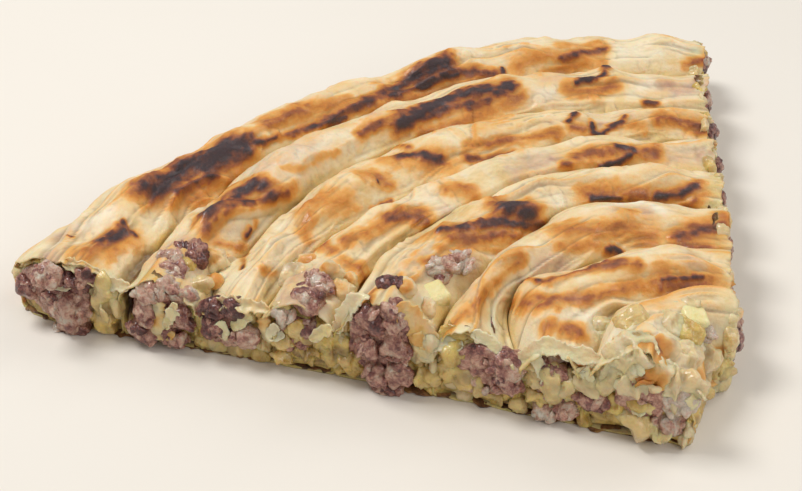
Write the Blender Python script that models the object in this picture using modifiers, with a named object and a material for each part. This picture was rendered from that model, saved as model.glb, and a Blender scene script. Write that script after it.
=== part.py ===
"""A quarter of a coiled meat burek, cut from a round pan.

Eight baked rolls of thin dough lie side by side as rings round the middle of the coil, each with its own
run of minced meat inside.  Two straight cuts show the meat and the layers of dough.  The quarter lies flat
on its base.  Units are metres, +Z is up, and the origin is at the middle of the footprint, on the table.

Every roll is described round the coil's middle: its place along the roll goes from 0 at the front cut to 1
at the right cut, and its sides are the creases that it shares with its neighbours.
"""

import math

import bmesh
import bpy
import numpy as np
from mathutils import Euler, Vector

COIL_MIDDLE = Vector((0.10364, -0.11381, 0.0))
FRONT_CUT_ANGLE = math.radians(164.0)
RIGHT_CUT_ANGLE = math.radians(84.3)
COIL_TURN = FRONT_CUT_ANGLE - RIGHT_CUT_ANGLE

# Radius of each crease round the coil's middle at five even places from the front cut to the right cut.
# The first row is the browned outer side and the last is the worn inner corner.
CREASE_RADII = (
    (0.2425, 0.2270, 0.2240, 0.2285, 0.2270),
    (0.2010, 0.2005, 0.2000, 0.1990, 0.1990),
    (0.1730, 0.1745, 0.1755, 0.1690, 0.1660),
    (0.1520, 0.1500, 0.1445, 0.1465, 0.1480),
    (0.1270, 0.1275, 0.1260, 0.1265, 0.1250),
    (0.0950, 0.0940, 0.1010, 0.1070, 0.0995),
    (0.0660, 0.0810, 0.0755, 0.0740, 0.0730),
    (0.0460, 0.0465, 0.0505, 0.0485, 0.0495),
    (0.0130, 0.0140, 0.0170, 0.0220, 0.0290),
)
# Height of each crease at the same five places.
CREASE_HEIGHTS = (
    (0.0140, 0.0165, 0.0165, 0.0165, 0.0150),
    (0.0160, 0.0175, 0.0185, 0.0180, 0.0165),
    (0.0150, 0.0165, 0.0190, 0.0185, 0.0170),
    (0.0165, 0.0185, 0.0195, 0.0190, 0.0170),
    (0.0175, 0.0190, 0.0200, 0.0195, 0.0175),
    (0.0185, 0.0195, 0.0205, 0.0205, 0.0180),
    (0.0185, 0.0190, 0.0210, 0.0205, 0.0185),
    (0.0190, 0.0205, 0.0210, 0.0205, 0.0185),
    (0.0120, 0.0130, 0.0130, 0.0125, 0.0120),
)
# Height of each roll's crest at the same five places.
CREST_HEIGHTS = (
    (0.0275, 0.0290, 0.0285, 0.0290, 0.0260),
    (0.0250, 0.0290, 0.0280, 0.0285, 0.0255),
    (0.0235, 0.0270, 0.0275, 0.0275, 0.0250),
    (0.0265, 0.0280, 0.0275, 0.0275, 0.0250),
    (0.0350, 0.0310, 0.0295, 0.0290, 0.0265),
    (0.0290, 0.0305, 0.0295, 0.0290, 0.0270),
    (0.0295, 0.0300, 0.0300, 0.0295, 0.0265),
    (0.0320, 0.0310, 0.0300, 0.0290, 0.0260),
)
# Where the crest lies across each roll at the same five places, from 0 at its inner crease to 1 at its outer.
CREST_PLACES = (
    (0.50, 0.55, 0.50, 0.46, 0.50),
    (0.52, 0.46, 0.44, 0.52, 0.50),
    (0.40, 0.44, 0.52, 0.46, 0.50),
    (0.50, 0.54, 0.46, 0.50, 0.48),
    (0.56, 0.52, 0.48, 0.44, 0.50),
    (0.66, 0.58, 0.50, 0.46, 0.48),
    (0.52, 0.56, 0.52, 0.48, 0.50),
    (0.50, 0.50, 0.46, 0.50, 0.50),
)
# Each roll's filling: middle across the roll from its inner crease, width share and height share.
FILLINGS = (
    (0.55, 0.62, 0.72),
    (0.52, 0.62, 0.70),
    (0.58, 0.58, 0.66),
    (0.50, 0.52, 0.56),
    (0.52, 0.62, 0.76),
    (0.46, 0.60, 0.72),
    (0.50, 0.50, 0.56),
    (0.50, 0.48, 0.56),
)

# Gap between neighbours, the thinnest dough under the meat, and the bevel along each roll's base.
GAP = 0.0003
SKIN_BOTTOM = 0.0022
BASE_BEVEL = 0.0010

# Steps along the three long outer rolls and the five short ones, and the short step at each cut.
LONG_ROLLS = 3
LONG_STEPS = 26
SHORT_STEPS = 13
END_SHARE = 0.018

# The rounded top: points over it, its fullness, and the lumps and waver along it.
DOME_POINTS = 5
DOME_FULLNESS = 0.72
LONG_SWELL = 0.0011
LONG_SWELL_LENGTH = 0.047
SHORT_SWELL = 0.0006
SHORT_SWELL_LENGTH = 0.021
CREASE_WAVE = 0.0006
CREASE_WAVE_LENGTH = 0.037

# The front cut: its rounded outer corner, its drift near the coil's middle, and how soon both fade inwards.
CORNER_REACH = 0.016
CORNER_ROUND = 0.0060
CUT_DRIFT = 0.0030
CUT_DRIFT_REACH = 0.150
CUT_FADE = 0.25

# How far the torn edges stand out at a cut, by height share, and the crevice between skin and filling.
RAGGED_EDGES = ((0.75, 0.0026), (0.15, 0.0012), (-1.0, 0.0006))
RAGGED_RANGE = (-0.35, 1.0)
CREVICE = 0.0022
CREVICE_RANGE = (-0.4, 1.0)

# The filling: height share of its middle, squareness, lumps, and the rings of the heap proud of each cut.
MEAT_MIDDLE = 0.46
MEAT_CORNERS = 2.6
MEAT_LUMP = 0.10
MEAT_LUMP_LENGTH = 0.026
MEAT_PROUD = 0.0022
MEAT_HEAP = ((0.20, 0.75), (0.55, 1.0))
MEAT_HEAP_RANGE = (0.4, 1.3)

# Each potato cube: roll, radius, degrees in from the front cut, height of its middle, and turn.
POTATOES = (
    (5, 0.1005, 10.5, 0.0240, (0.30, -0.15, 0.50)),
    (8, 0.0330, 56.0, 0.0245, (0.20, 0.25, 0.20)),
)
POTATO_SIZE = 0.0085
POTATO_BEVEL = 0.0018
POTATO_GAP = 0.0004

DOUGH_COLOUR = (0.66, 0.46, 0.22, 1.0)
MEAT_COLOUR = (0.28, 0.15, 0.13, 1.0)
POTATO_COLOUR = (0.76, 0.66, 0.24, 1.0)


def clear_scene():
    """Empties the open file of objects."""
    for thing in list(bpy.data.objects):
        bpy.data.objects.remove(thing, do_unlink=True)


def new_collection(name, hidden=False):
    """A collection linked to the scene, hidden from renders where it holds cutters."""
    collection = bpy.data.collections.new(name)
    bpy.context.scene.collection.children.link(collection)
    collection.hide_render = hidden
    return collection


def material(name, colour, roughness):
    """A plain Principled finish."""
    finish = bpy.data.materials.new(name)
    finish.use_nodes = True
    shader = finish.node_tree.nodes["Principled BSDF"]
    shader.inputs["Base Color"].default_value = colour
    shader.inputs["Roughness"].default_value = roughness
    return finish


def smooth_row(values, place):
    """Reads a row of evenly spaced values at a place from 0 to 1 along a smooth curve through them."""
    count = len(values) - 1
    reach = place * count
    left = min(int(reach), count - 1)
    part = reach - left
    before = values[max(left - 1, 0)]
    after = values[min(left + 2, count)]
    first, second = values[left], values[left + 1]
    slope_a = (second - before) / 2
    slope_b = (after - first) / 2
    square, cube = part * part, part * part * part
    return (
        (2 * cube - 3 * square + 1) * first
        + (cube - 2 * square + part) * slope_a
        + (3 * square - 2 * cube) * second
        + (cube - square) * slope_b
    )


def middle_radius(roll):
    """Radius of a roll's middle line, half way along it."""
    return (CREASE_RADII[roll - 1][2] + CREASE_RADII[roll][2]) / 2


def crease_radius(crease, place):
    """Radius of a crease at a place, with the small waver that neighbouring rolls share."""
    turn = 2 * math.pi * CREASE_RADII[crease][2] * COIL_TURN * place / CREASE_WAVE_LENGTH
    return smooth_row(CREASE_RADII[crease], place) + CREASE_WAVE * math.sin(turn + 2.3 * crease)


def stations(roll):
    """Places along a roll, even but for one short step at each cut, and the roll's length.

    Neighbours have the same places, or every second one, so that their sides run alike.
    """
    length = middle_radius(roll) * COIL_TURN
    steps = LONG_STEPS if roll <= LONG_ROLLS else SHORT_STEPS
    return [0.0] + list(np.linspace(END_SHARE, 1 - END_SHARE, steps + 1)) + [1.0], length


def swell(roll, distance, across):
    """Low lumps along a roll's top, none at its creases."""
    long_wave = LONG_SWELL * math.sin(2 * math.pi * distance / LONG_SWELL_LENGTH + 1.7 * roll)
    short_turn = 2 * math.pi * distance / SHORT_SWELL_LENGTH + 2.9 * roll + 2 * math.pi * across
    return (long_wave + SHORT_SWELL * math.sin(short_turn)) * math.sin(math.pi * across)


def section(roll, place, distance):
    """A roll's outline across, as (radius, height) pairs from the outer base corner inwards and over the top.

    The inner side is moved out by the depth of its chords, so that no facet reaches the next roll.
    """
    outer = crease_radius(roll - 1, place) - GAP / 2
    inner = crease_radius(roll, place) + GAP / 2
    inner += inner * (COIL_TURN / SHORT_STEPS) ** 2 / 8
    outer_top = smooth_row(CREASE_HEIGHTS[roll - 1], place)
    inner_top = smooth_row(CREASE_HEIGHTS[roll], place)
    crest = smooth_row(CREST_HEIGHTS[roll - 1], place)
    lean = math.log(0.5) / math.log(smooth_row(CREST_PLACES[roll - 1], place))
    rise = crest - (outer_top + inner_top) / 2
    points = [(outer - BASE_BEVEL, 0.0), ((outer + inner) / 2, 0.0), (inner + BASE_BEVEL, 0.0)]
    points += [(inner, BASE_BEVEL), (inner, inner_top)]
    for index in range(1, DOME_POINTS + 1):
        across = (1 - math.cos(math.pi * index / (DOME_POINTS + 1))) / 2
        radius = inner + (outer - inner) * across
        height = inner_top + (outer_top - inner_top) * across
        height += rise * math.sin(math.pi * across**lean) ** DOME_FULLNESS
        points.append((radius, height + swell(roll, distance, across)))
    points += [(outer, outer_top), (outer, BASE_BEVEL)]
    return points


def meat_section(roll, place, distance, outline, spread):
    """The filling's outline at a station and its middle, with a point towards each point of the roll's."""
    middle_share, width_share, height_share = FILLINGS[roll - 1]
    outer = max(point[0] for point in outline)
    inner = min(point[0] for point in outline)
    crest = max(point[1] for point in outline)
    centre = (inner + (outer - inner) * middle_share, SKIN_BOTTOM + (crest - SKIN_BOTTOM) * MEAT_MIDDLE)
    half_width = (outer - inner) * width_share / 2
    half_height = (crest - SKIN_BOTTOM) * height_share / 2
    points = []
    for radius, height in outline:
        angle = math.atan2(height - centre[1], radius - centre[0])
        across = abs(math.cos(angle) / half_width) ** MEAT_CORNERS
        upright = abs(math.sin(angle) / half_height) ** MEAT_CORNERS
        reach = (across + upright) ** (-1 / MEAT_CORNERS)
        lump = math.sin(2 * math.pi * distance / MEAT_LUMP_LENGTH + 1.3 * roll + 2 * angle)
        reach *= 1 + MEAT_LUMP * lump * math.sin(3 * angle + roll + 5 * place)
        reach += spread
        points.append((centre[0] + reach * math.cos(angle), centre[1] + reach * math.sin(angle)))
    return points, centre


def to_space(radius, height, place, beyond_cut):
    """Turns a place along the coil into a point, moved out past its own cut by beyond_cut."""
    angle = FRONT_CUT_ANGLE - COIL_TURN * place
    forward = beyond_cut
    if place < 0.5:
        fade = max(0.0, 1 - place / CUT_FADE)
        drift = CUT_DRIFT * max(0.0, 1 - radius / CUT_DRIFT_REACH)
        edge = max(0.0, (radius - (CREASE_RADII[0][0] - CORNER_REACH)) / CORNER_REACH)
        forward += fade * (drift - CORNER_ROUND * edge**2)
        sideways = 1.0
    else:
        sideways = -1.0
    across = Vector((math.cos(angle), math.sin(angle), 0.0))
    along = Vector((-math.sin(angle), math.cos(angle), 0.0)) * sideways
    return COIL_MIDDLE + across * radius + along * forward + Vector((0.0, 0.0, height))


def ragged(roll, side, outline):
    """How far each point of a cut end stands out: the torn top skin most, the base least."""
    draw = np.random.RandomState(10 * roll + side)
    crest = max(point[1] for point in outline)
    reach = []
    for _, height in outline:
        size = next(size for share, size in RAGGED_EDGES if height / crest > share)
        reach.append(size * draw.uniform(*RAGGED_RANGE))
    return reach


def crevice(roll, side, place, outline, bore):
    """The ring half way from a roll's skin to its tunnel at a cut, sunk unevenly."""
    draw = np.random.RandomState(77 + 10 * roll + side)
    lip = midway(outline, bore, 0.5)
    return [to_space(r, z, place, -CREVICE * draw.uniform(*CREVICE_RANGE)) for r, z in lip]


def closed_mesh(name, rings, poles, turned, finish, collection):
    """One closed body through the rings, round in a loop, or ended by a pole at each end.

    Args:
        rings: lists of points, the same number in each.
        poles: None for a loop of rings, or the two end points.
        turned: the number of rings before those that run back, whose squares are halved the other way, so
            that a tunnel's triangles lie along those of what fills it.
    """
    mesh = bmesh.new()
    rows = [[mesh.verts.new(point) for point in ring] for ring in rings]
    pairs = list(zip(rows, rows[1:]))
    if poles is None:
        pairs.append((rows[-1], rows[0]))
    for number, (first, second) in enumerate(pairs):
        for index in range(len(first)):
            after = (index + 1) % len(first)
            corners = (first[index], first[after], second[after], second[index])
            start = 1 if number >= turned else 0
            mesh.faces.new((corners[start], corners[start + 1], corners[start + 2]))
            mesh.faces.new((corners[start], corners[start + 2], corners[(start + 3) % 4]))
    if poles is not None:
        for pole, row in zip(poles, (rows[0], rows[-1])):
            tip = mesh.verts.new(pole)
            for index in range(len(row)):
                mesh.faces.new((row[index], row[(index + 1) % len(row)], tip))
    bmesh.ops.recalc_face_normals(mesh, faces=mesh.faces[:])
    data = bpy.data.meshes.new(name)
    mesh.to_mesh(data)
    mesh.free()
    data.materials.append(finish)
    body = bpy.data.objects.new(name, data)
    collection.objects.link(body)
    return body


def midway(first, second, share):
    """Points part of the way from one outline to another."""
    return [(a[0] + (b[0] - a[0]) * share, a[1] + (b[1] - a[1]) * share) for a, b in zip(first, second)]


def build_roll(roll, finish, collection):
    """A roll of dough with the tunnel that its filling runs through, open at both cuts."""
    places, length = stations(roll)
    outside, tunnel, lips = [], [], []
    for place in places:
        outline = section(roll, place, place * length)
        bore, _ = meat_section(roll, place, place * length, outline, GAP)
        reach = [0.0] * len(outline)
        if place in (0.0, 1.0):
            side = int(place)
            reach = ragged(roll, side, outline)
            lips.append(crevice(roll, side, place, outline, bore))
        outside.append([to_space(r, z, place, out) for (r, z), out in zip(outline, reach)])
        tunnel.append([to_space(r, z, place, 0.0) for r, z in bore])
    front_lip, right_lip = lips
    rings = outside + [right_lip] + tunnel[::-1] + [front_lip]
    return closed_mesh(f"roll_{roll}", rings, None, len(outside), finish, collection)


def build_filling(roll, finish, collection):
    """The run of minced meat in a roll, heaped a little proud of both cuts."""
    places, length = stations(roll)
    rings, poles = [], []
    for place in places:
        outline = section(roll, place, place * length)
        points, centre = meat_section(roll, place, place * length, outline, 0.0)
        rings.append([to_space(r, z, place, 0.0) for r, z in points])
        if place in (0.0, 1.0):
            draw = np.random.RandomState(500 + 10 * roll + int(place))
            heap = []
            for share, proud in MEAT_HEAP:
                size = MEAT_PROUD * proud
                shrunk = midway(points, [centre] * len(points), share)
                heap.append([to_space(r, z, place, size * draw.uniform(*MEAT_HEAP_RANGE)) for r, z in shrunk])
            rings = heap[::-1] + rings if place == 0.0 else rings + heap
            poles.append(to_space(centre[0], centre[1], place, MEAT_PROUD))
    return closed_mesh(f"filling_{roll}", rings, poles, len(rings), finish, collection)


def potato_block(name, size, where, turn, collection):
    """A cube with soft edges, placed by its location and rotation."""
    mesh = bmesh.new()
    bmesh.ops.create_cube(mesh, size=size)
    data = bpy.data.meshes.new(name)
    mesh.to_mesh(data)
    mesh.free()
    block = bpy.data.objects.new(name, data)
    block.location = where
    block.rotation_euler = Euler(turn)
    soften = block.modifiers.new("soft edges", "BEVEL")
    soften.width = POTATO_BEVEL
    soften.segments = 2
    collection.objects.link(block)
    return block


def hide_cutter(cutter):
    """Keeps a cutter out of renders and shows it as wire."""
    cutter.hide_render = True
    cutter.display_type = "WIRE"


def build_potatoes(bodies, finish, collection, cutters):
    """The potato cubes that show at the front cut, each in a pocket of the dough and meat behind it."""
    for number, (roll, radius, inwards, height, turn) in enumerate(POTATOES, start=1):
        place = math.radians(inwards) / COIL_TURN
        where = to_space(radius, height, place, 0.0)
        cube = potato_block(f"potato_{number}", POTATO_SIZE, where, turn, collection)
        cube.data.materials.append(finish)
        pocket = potato_block(f"pocket_{number}", POTATO_SIZE + 2 * POTATO_GAP, where, turn, cutters)
        hide_cutter(pocket)
        for body in bodies[roll]:
            cut = body.modifiers.new(f"pocket {number}", "BOOLEAN")
            cut.operation = "DIFFERENCE"
            cut.solver = "EXACT"
            cut.object = pocket


def main():
    """Builds the eight rolls, their fillings and the potato cubes."""
    clear_scene()
    collection = new_collection("meat_burek")
    cutters = new_collection("cutters", hidden=True)
    dough = material("dough", DOUGH_COLOUR, 0.55)
    meat = material("minced_meat", MEAT_COLOUR, 0.6)
    potato = material("potato", POTATO_COLOUR, 0.45)
    bodies = {}
    for roll in range(1, len(CREST_HEIGHTS) + 1):
        bodies[roll] = (build_roll(roll, dough, collection), build_filling(roll, meat, collection))
    build_potatoes(bodies, potato, collection, cutters)


main()
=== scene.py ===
"""Looks of a quarter of a coiled meat burek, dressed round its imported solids.

Eight rolls of thin dough lie side by side as rings round the coil's middle.  Each gets a fine skin of
folds, wrinkles and blisters with its browning painted on as values, a run of granular mince, and torn
layers of dough where the two straight cuts end it.  Loose lumps, flakes, potato and the ragged base
crust are pieces of their own.  Units are metres in the frame's own axes.
"""

import logging
import math
from collections.abc import Sequence
from dataclasses import dataclass, field, replace
from enum import Enum

import bpy
import numpy as np
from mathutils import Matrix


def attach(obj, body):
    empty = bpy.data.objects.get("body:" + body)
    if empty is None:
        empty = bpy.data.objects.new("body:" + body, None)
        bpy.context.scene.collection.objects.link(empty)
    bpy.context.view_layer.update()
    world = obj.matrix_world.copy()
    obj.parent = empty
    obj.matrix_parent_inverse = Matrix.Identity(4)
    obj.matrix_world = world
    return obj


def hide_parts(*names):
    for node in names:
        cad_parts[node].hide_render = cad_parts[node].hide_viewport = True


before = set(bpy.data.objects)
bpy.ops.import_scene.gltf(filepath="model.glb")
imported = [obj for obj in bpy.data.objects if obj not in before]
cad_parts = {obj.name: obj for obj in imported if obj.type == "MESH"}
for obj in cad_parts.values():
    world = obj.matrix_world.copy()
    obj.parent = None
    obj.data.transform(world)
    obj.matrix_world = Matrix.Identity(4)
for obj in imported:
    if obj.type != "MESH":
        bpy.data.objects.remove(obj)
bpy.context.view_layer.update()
LOG = logging.getLogger("burek")

Pixels = tuple[tuple[float, float], ...]
Colour = tuple[float, float, float, float]

# Usual distance between grains of mince.
MINCE_GRAIN = 0.0034

# The coil as the solids have it: radius of each crease, height of each crease, and each roll's crest height
# and crest place across the roll, all at five even places from the front cut to the right cut.
CREASE_RADII = (
    (0.2425, 0.2270, 0.2240, 0.2285, 0.2270),
    (0.2010, 0.2005, 0.2000, 0.1990, 0.1990),
    (0.1730, 0.1745, 0.1755, 0.1690, 0.1660),
    (0.1520, 0.1500, 0.1445, 0.1465, 0.1480),
    (0.1270, 0.1275, 0.1260, 0.1265, 0.1250),
    (0.0950, 0.0940, 0.1010, 0.1070, 0.0995),
    (0.0660, 0.0810, 0.0755, 0.0740, 0.0730),
    (0.0460, 0.0465, 0.0505, 0.0485, 0.0495),
    (0.0130, 0.0140, 0.0170, 0.0220, 0.0290),
)
CREASE_HEIGHTS = (
    (0.0140, 0.0165, 0.0165, 0.0165, 0.0150),
    (0.0160, 0.0175, 0.0185, 0.0180, 0.0165),
    (0.0150, 0.0165, 0.0190, 0.0185, 0.0170),
    (0.0165, 0.0185, 0.0195, 0.0190, 0.0170),
    (0.0175, 0.0190, 0.0200, 0.0195, 0.0175),
    (0.0185, 0.0195, 0.0205, 0.0205, 0.0180),
    (0.0185, 0.0190, 0.0210, 0.0205, 0.0185),
    (0.0190, 0.0205, 0.0210, 0.0205, 0.0185),
    (0.0120, 0.0130, 0.0130, 0.0125, 0.0120),
)
CREST_HEIGHTS = (
    (0.0275, 0.0290, 0.0285, 0.0290, 0.0260),
    (0.0250, 0.0290, 0.0280, 0.0285, 0.0255),
    (0.0235, 0.0270, 0.0275, 0.0275, 0.0250),
    (0.0265, 0.0280, 0.0275, 0.0275, 0.0250),
    (0.0350, 0.0310, 0.0295, 0.0290, 0.0265),
    (0.0290, 0.0305, 0.0295, 0.0290, 0.0270),
    (0.0295, 0.0300, 0.0300, 0.0295, 0.0265),
    (0.0320, 0.0310, 0.0300, 0.0290, 0.0260),
)
CREST_PLACES = (
    (0.50, 0.55, 0.50, 0.46, 0.50),
    (0.52, 0.46, 0.44, 0.52, 0.50),
    (0.40, 0.44, 0.52, 0.46, 0.50),
    (0.50, 0.54, 0.46, 0.50, 0.48),
    (0.56, 0.52, 0.48, 0.44, 0.50),
    (0.66, 0.58, 0.50, 0.46, 0.48),
    (0.52, 0.56, 0.52, 0.48, 0.50),
    (0.50, 0.50, 0.46, 0.50, 0.50),
)
# Each roll's filling: middle across the roll from its inner crease, width share and height share.
FILLINGS = (
    (0.55, 0.62, 0.72),
    (0.52, 0.62, 0.70),
    (0.58, 0.58, 0.66),
    (0.50, 0.52, 0.56),
    (0.52, 0.62, 0.76),
    (0.46, 0.60, 0.72),
    (0.50, 0.50, 0.56),
    (0.50, 0.48, 0.56),
)
ROLLS = range(1, len(CREST_HEIGHTS) + 1)


class Cut(Enum):
    """The two straight cuts that end every roll."""

    FRONT = 0
    RIGHT = 1


class Tone(Enum):
    """What a stroke changes where it lies, in the order that the short names below are given."""

    TOAST = "toast"
    PALE = "pale"
    MEAT = "meat"
    WET = "wet"
    GRAIN = "grain"
    # Sinks the surface and paints shade in it.
    SINK = "sink"


def smooth_row(values: Sequence[float], place: np.ndarray) -> np.ndarray:
    """Reads a row of evenly spaced values along a smooth curve through them.

    A cubic runs between two neighbours, with a slope at each of half the difference of the values beside it.

    Args:
        values: the row.
        place: where to read it, from 0 to 1.

    Returns:
        The values at those places.
    """
    row = np.asarray(values, float)
    count = len(row) - 1
    reach = np.clip(place, 0.0, 1.0) * count
    left = np.minimum(reach.astype(int), count - 1)
    part = reach - left
    first, second = row[left], row[left + 1]
    slope_a = (second - row[np.maximum(left - 1, 0)]) / 2
    slope_b = (row[np.minimum(left + 2, count)] - first) / 2
    square, cube = part**2, part**3
    rise = (3 * square - 2 * cube) * (second - first)
    return first + rise + (cube - 2 * square + part) * slope_a + (cube - square) * slope_b


def ease(value: np.ndarray) -> np.ndarray:
    """Turns a value, held from 0 to 1, into one that starts and ends level: 3v squared less 2v cubed."""
    held = np.clip(value, 0.0, 1.0)
    return held * held * (3 - 2 * held)


def lattice_values(cells: np.ndarray, seed: int) -> np.ndarray:
    """A fixed random value from 0 to 1 for each whole-number cell.

    The cell's coordinates are multiplied by large odd numbers, added and mixed by shifts.

    Args:
        cells: whole coordinates, three in the last axis.
        seed: chooses the draw.

    Returns:
        One value for each cell.
    """
    mixed = cells[..., 0] * 374761393 + cells[..., 1] * 668265263 + cells[..., 2] * 1442695041 + seed * 97531
    mixed &= 0xFFFFFFFF
    mixed = ((mixed ^ (mixed >> 13)) * 1274126177) & 0xFFFFFFFF
    mixed ^= mixed >> 16
    return mixed / 0xFFFFFFFF


def smooth_noise(points: np.ndarray, size: float | Sequence[float], seed: int) -> np.ndarray:
    """Rolling noise from -1 to 1: lattice values blended by eased shares of the way to the next cell.

    Args:
        points: places, three numbers in the last axis.
        size: the distance between lattice cells, one number or one for each axis.
        seed: chooses the draw.

    Returns:
        The noise at each place.
    """
    scaled = points / np.asarray(size, float)
    low = np.floor(scaled).astype(np.int64)
    share = scaled - low
    share = share**3 * (share * (share * 6 - 15) + 10)
    total = np.zeros(points.shape[:-1])
    for number in range(8):
        corner = np.array([number & 1, number >> 1 & 1, number >> 2 & 1])
        weight = np.prod(np.where(corner, share, 1 - share), axis=-1)
        total += weight * lattice_values(low + corner, seed)
    return total * 2 - 1


def rough_noise(points: np.ndarray, size: float | Sequence[float], seed: int, octaves: int = 3) -> np.ndarray:
    """Sum of rolling noises, each half the size and half the strength of the one before, from -1 to 1.

    Args:
        points: places, three numbers in the last axis.
        size: size of the largest noise.
        seed: chooses the draw.
        octaves: how many are added.

    Returns:
        The noise at each place.
    """
    total, weight = np.zeros(points.shape[:-1]), 1.0
    for octave in range(octaves):
        total += weight * smooth_noise(points, np.asarray(size, float) / 2**octave, seed + 31 * octave)
        weight /= 2
    return total / (2 - 2 * weight)


def ridges(points: np.ndarray, size: float | Sequence[float], seed: int) -> np.ndarray:
    """Sharp crests where rolling noise passes zero: one less three times its distance from zero, over -1."""
    return np.maximum(1 - 3 * np.abs(smooth_noise(points, size, seed)), -1.0)


def nodules(points: np.ndarray, size: float, seed: int) -> tuple[np.ndarray, np.ndarray]:
    """Packed round grains: how near each place is to the middle of its own grain.

    Each lattice cell holds one jittered centre, and the nearest of those in the 27 cells around counts.

    Args:
        points: places, three numbers in the last axis.
        size: the usual distance between grains.
        seed: chooses the draw.

    Returns:
        Roundness, 1 at a grain's middle falling to 0 or less between grains, and the grain's own value.
    """
    scaled = points / size
    low = np.floor(scaled).astype(np.int64)
    nearest = np.full(points.shape[:-1], 9.0)
    owner = np.zeros(points.shape[:-1])
    for number in range(27):
        cell = low + np.array([number % 3 - 1, number // 3 % 3 - 1, number // 9 - 1])
        jitter = np.stack([lattice_values(cell, seed + axis) for axis in range(3)], axis=-1)
        gap = np.linalg.norm(scaled - cell - 0.08 - 0.84 * jitter, axis=-1)
        closer = gap < nearest
        nearest = np.where(closer, gap, nearest)
        owner = np.where(closer, jitter[..., 0], owner)
    return 1 - 1.25 * nearest**2, owner


def local_mean(values: np.ndarray, reach: int) -> np.ndarray:
    """Mean of a grid over the cells near each, the edges repeated outwards.

    Args:
        values: the grid.
        reach: how many cells away still count, each way.

    Returns:
        A grid of means.
    """
    padded = np.pad(values, reach, mode="edge")
    rows, columns = values.shape
    size = 2 * reach + 1
    along = sum(padded[step : step + rows] for step in range(size)) / size
    return sum(along[:, step : step + columns] for step in range(size)) / size


def grid_quads(rows: int, columns: int, round_rows: bool = False, round_columns: bool = False) -> np.ndarray:
    """Four-cornered faces over a grid of points stored row by row.

    Args:
        rows: how many rows.
        columns: how many columns.
        round_rows: whether the last row joins the first.
        round_columns: whether the last column joins the first.

    Returns:
        Four point numbers for each face.
    """
    row = np.arange(rows if round_rows else rows - 1)[:, None]
    column = np.arange(columns if round_columns else columns - 1)[None, :]
    next_row, next_column = (row + 1) % rows, (column + 1) % columns
    corners = [row * columns + column, row * columns + next_column]
    corners += [next_row * columns + next_column, next_row * columns + column]
    return np.stack([np.broadcast_to(corner, (row.size, column.size)).ravel() for corner in corners], axis=1)


def grid_normals(points: np.ndarray) -> np.ndarray:
    """Unit normals of a grid of points, from the cross product of its two directions."""
    across = np.cross(np.gradient(points, axis=0), np.gradient(points, axis=1))
    return across / np.maximum(np.linalg.norm(across, axis=-1, keepdims=True), 1e-12)


@dataclass
class Shape:
    """Points, faces and painted values of a piece, closed and facing out.

    Attributes:
        points: one row of three for each point.
        quads: point numbers of the four-cornered faces.
        tris: point numbers of the three-cornered faces.
        paint: for each finish value, one number for each point.
    """

    points: np.ndarray
    quads: np.ndarray
    tris: np.ndarray = field(default_factory=lambda: np.zeros((0, 3), int))
    paint: dict[str, np.ndarray] = field(default_factory=dict)

    def outwards(self) -> "Shape":
        """Turns the faces round if they enclose a volume less than nothing.

        Returns:
            The shape itself.
        """
        volume = 0.0
        for faces in (self.quads[:, (0, 1, 2)], self.quads[:, (0, 2, 3)], self.tris):
            a, b, c = (self.points[faces[:, corner]] for corner in range(3))
            volume += float(np.einsum("ij,ij->", a, np.cross(b, c)))
        if volume < 0:
            self.quads, self.tris = self.quads[:, ::-1], self.tris[:, ::-1]
        return self

    @staticmethod
    def joined(shapes: Sequence["Shape"]) -> "Shape":
        """One shape of several, with the painted values that they all have.

        Args:
            shapes: the shapes.

        Returns:
            The shape that holds them all.
        """
        starts = np.cumsum([0] + [len(shape.points) for shape in shapes[:-1]])
        return Shape(
            np.concatenate([shape.points for shape in shapes]),
            np.concatenate([shape.quads + start for shape, start in zip(shapes, starts)]),
            np.concatenate([shape.tris + start for shape, start in zip(shapes, starts)]),
            {name: np.concatenate([shape.paint[name] for shape in shapes]) for name in shapes[0].paint},
        )

    def make(self, name: str, finish: bpy.types.Material) -> bpy.types.Object:
        """Writes the shape into a smooth mesh object with its painted values as attributes.

        Args:
            name: the piece's name.
            finish: its material.

        Returns:
            The new object, at the origin.
        """
        mesh = bpy.data.meshes.new(name)
        loops = np.concatenate([self.quads.ravel(), self.tris.ravel()]).astype(np.int32)
        sizes = np.concatenate([np.full(len(self.quads), 4), np.full(len(self.tris), 3)])
        mesh.vertices.add(len(self.points))
        mesh.vertices.foreach_set("co", self.points.astype(np.float32).ravel())
        mesh.loops.add(len(loops))
        mesh.loops.foreach_set("vertex_index", loops)
        mesh.polygons.add(len(sizes))
        mesh.polygons.foreach_set("loop_start", (np.cumsum(sizes) - sizes).astype(np.int32))
        mesh.update(calc_edges=True)
        mesh.validate()
        mesh.shade_smooth()
        for value, numbers in self.paint.items():
            layer = mesh.attributes.new(value, "FLOAT", "POINT")
            layer.data.foreach_set("value", numbers.astype(np.float32))
        mesh.materials.append(finish)
        piece = bpy.data.objects.new(name, mesh)
        bpy.context.scene.collection.objects.link(piece)
        LOG.info("%s: %d points, %d triangles", name, len(self.points), 2 * len(self.quads) + len(self.tris))
        return piece


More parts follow.
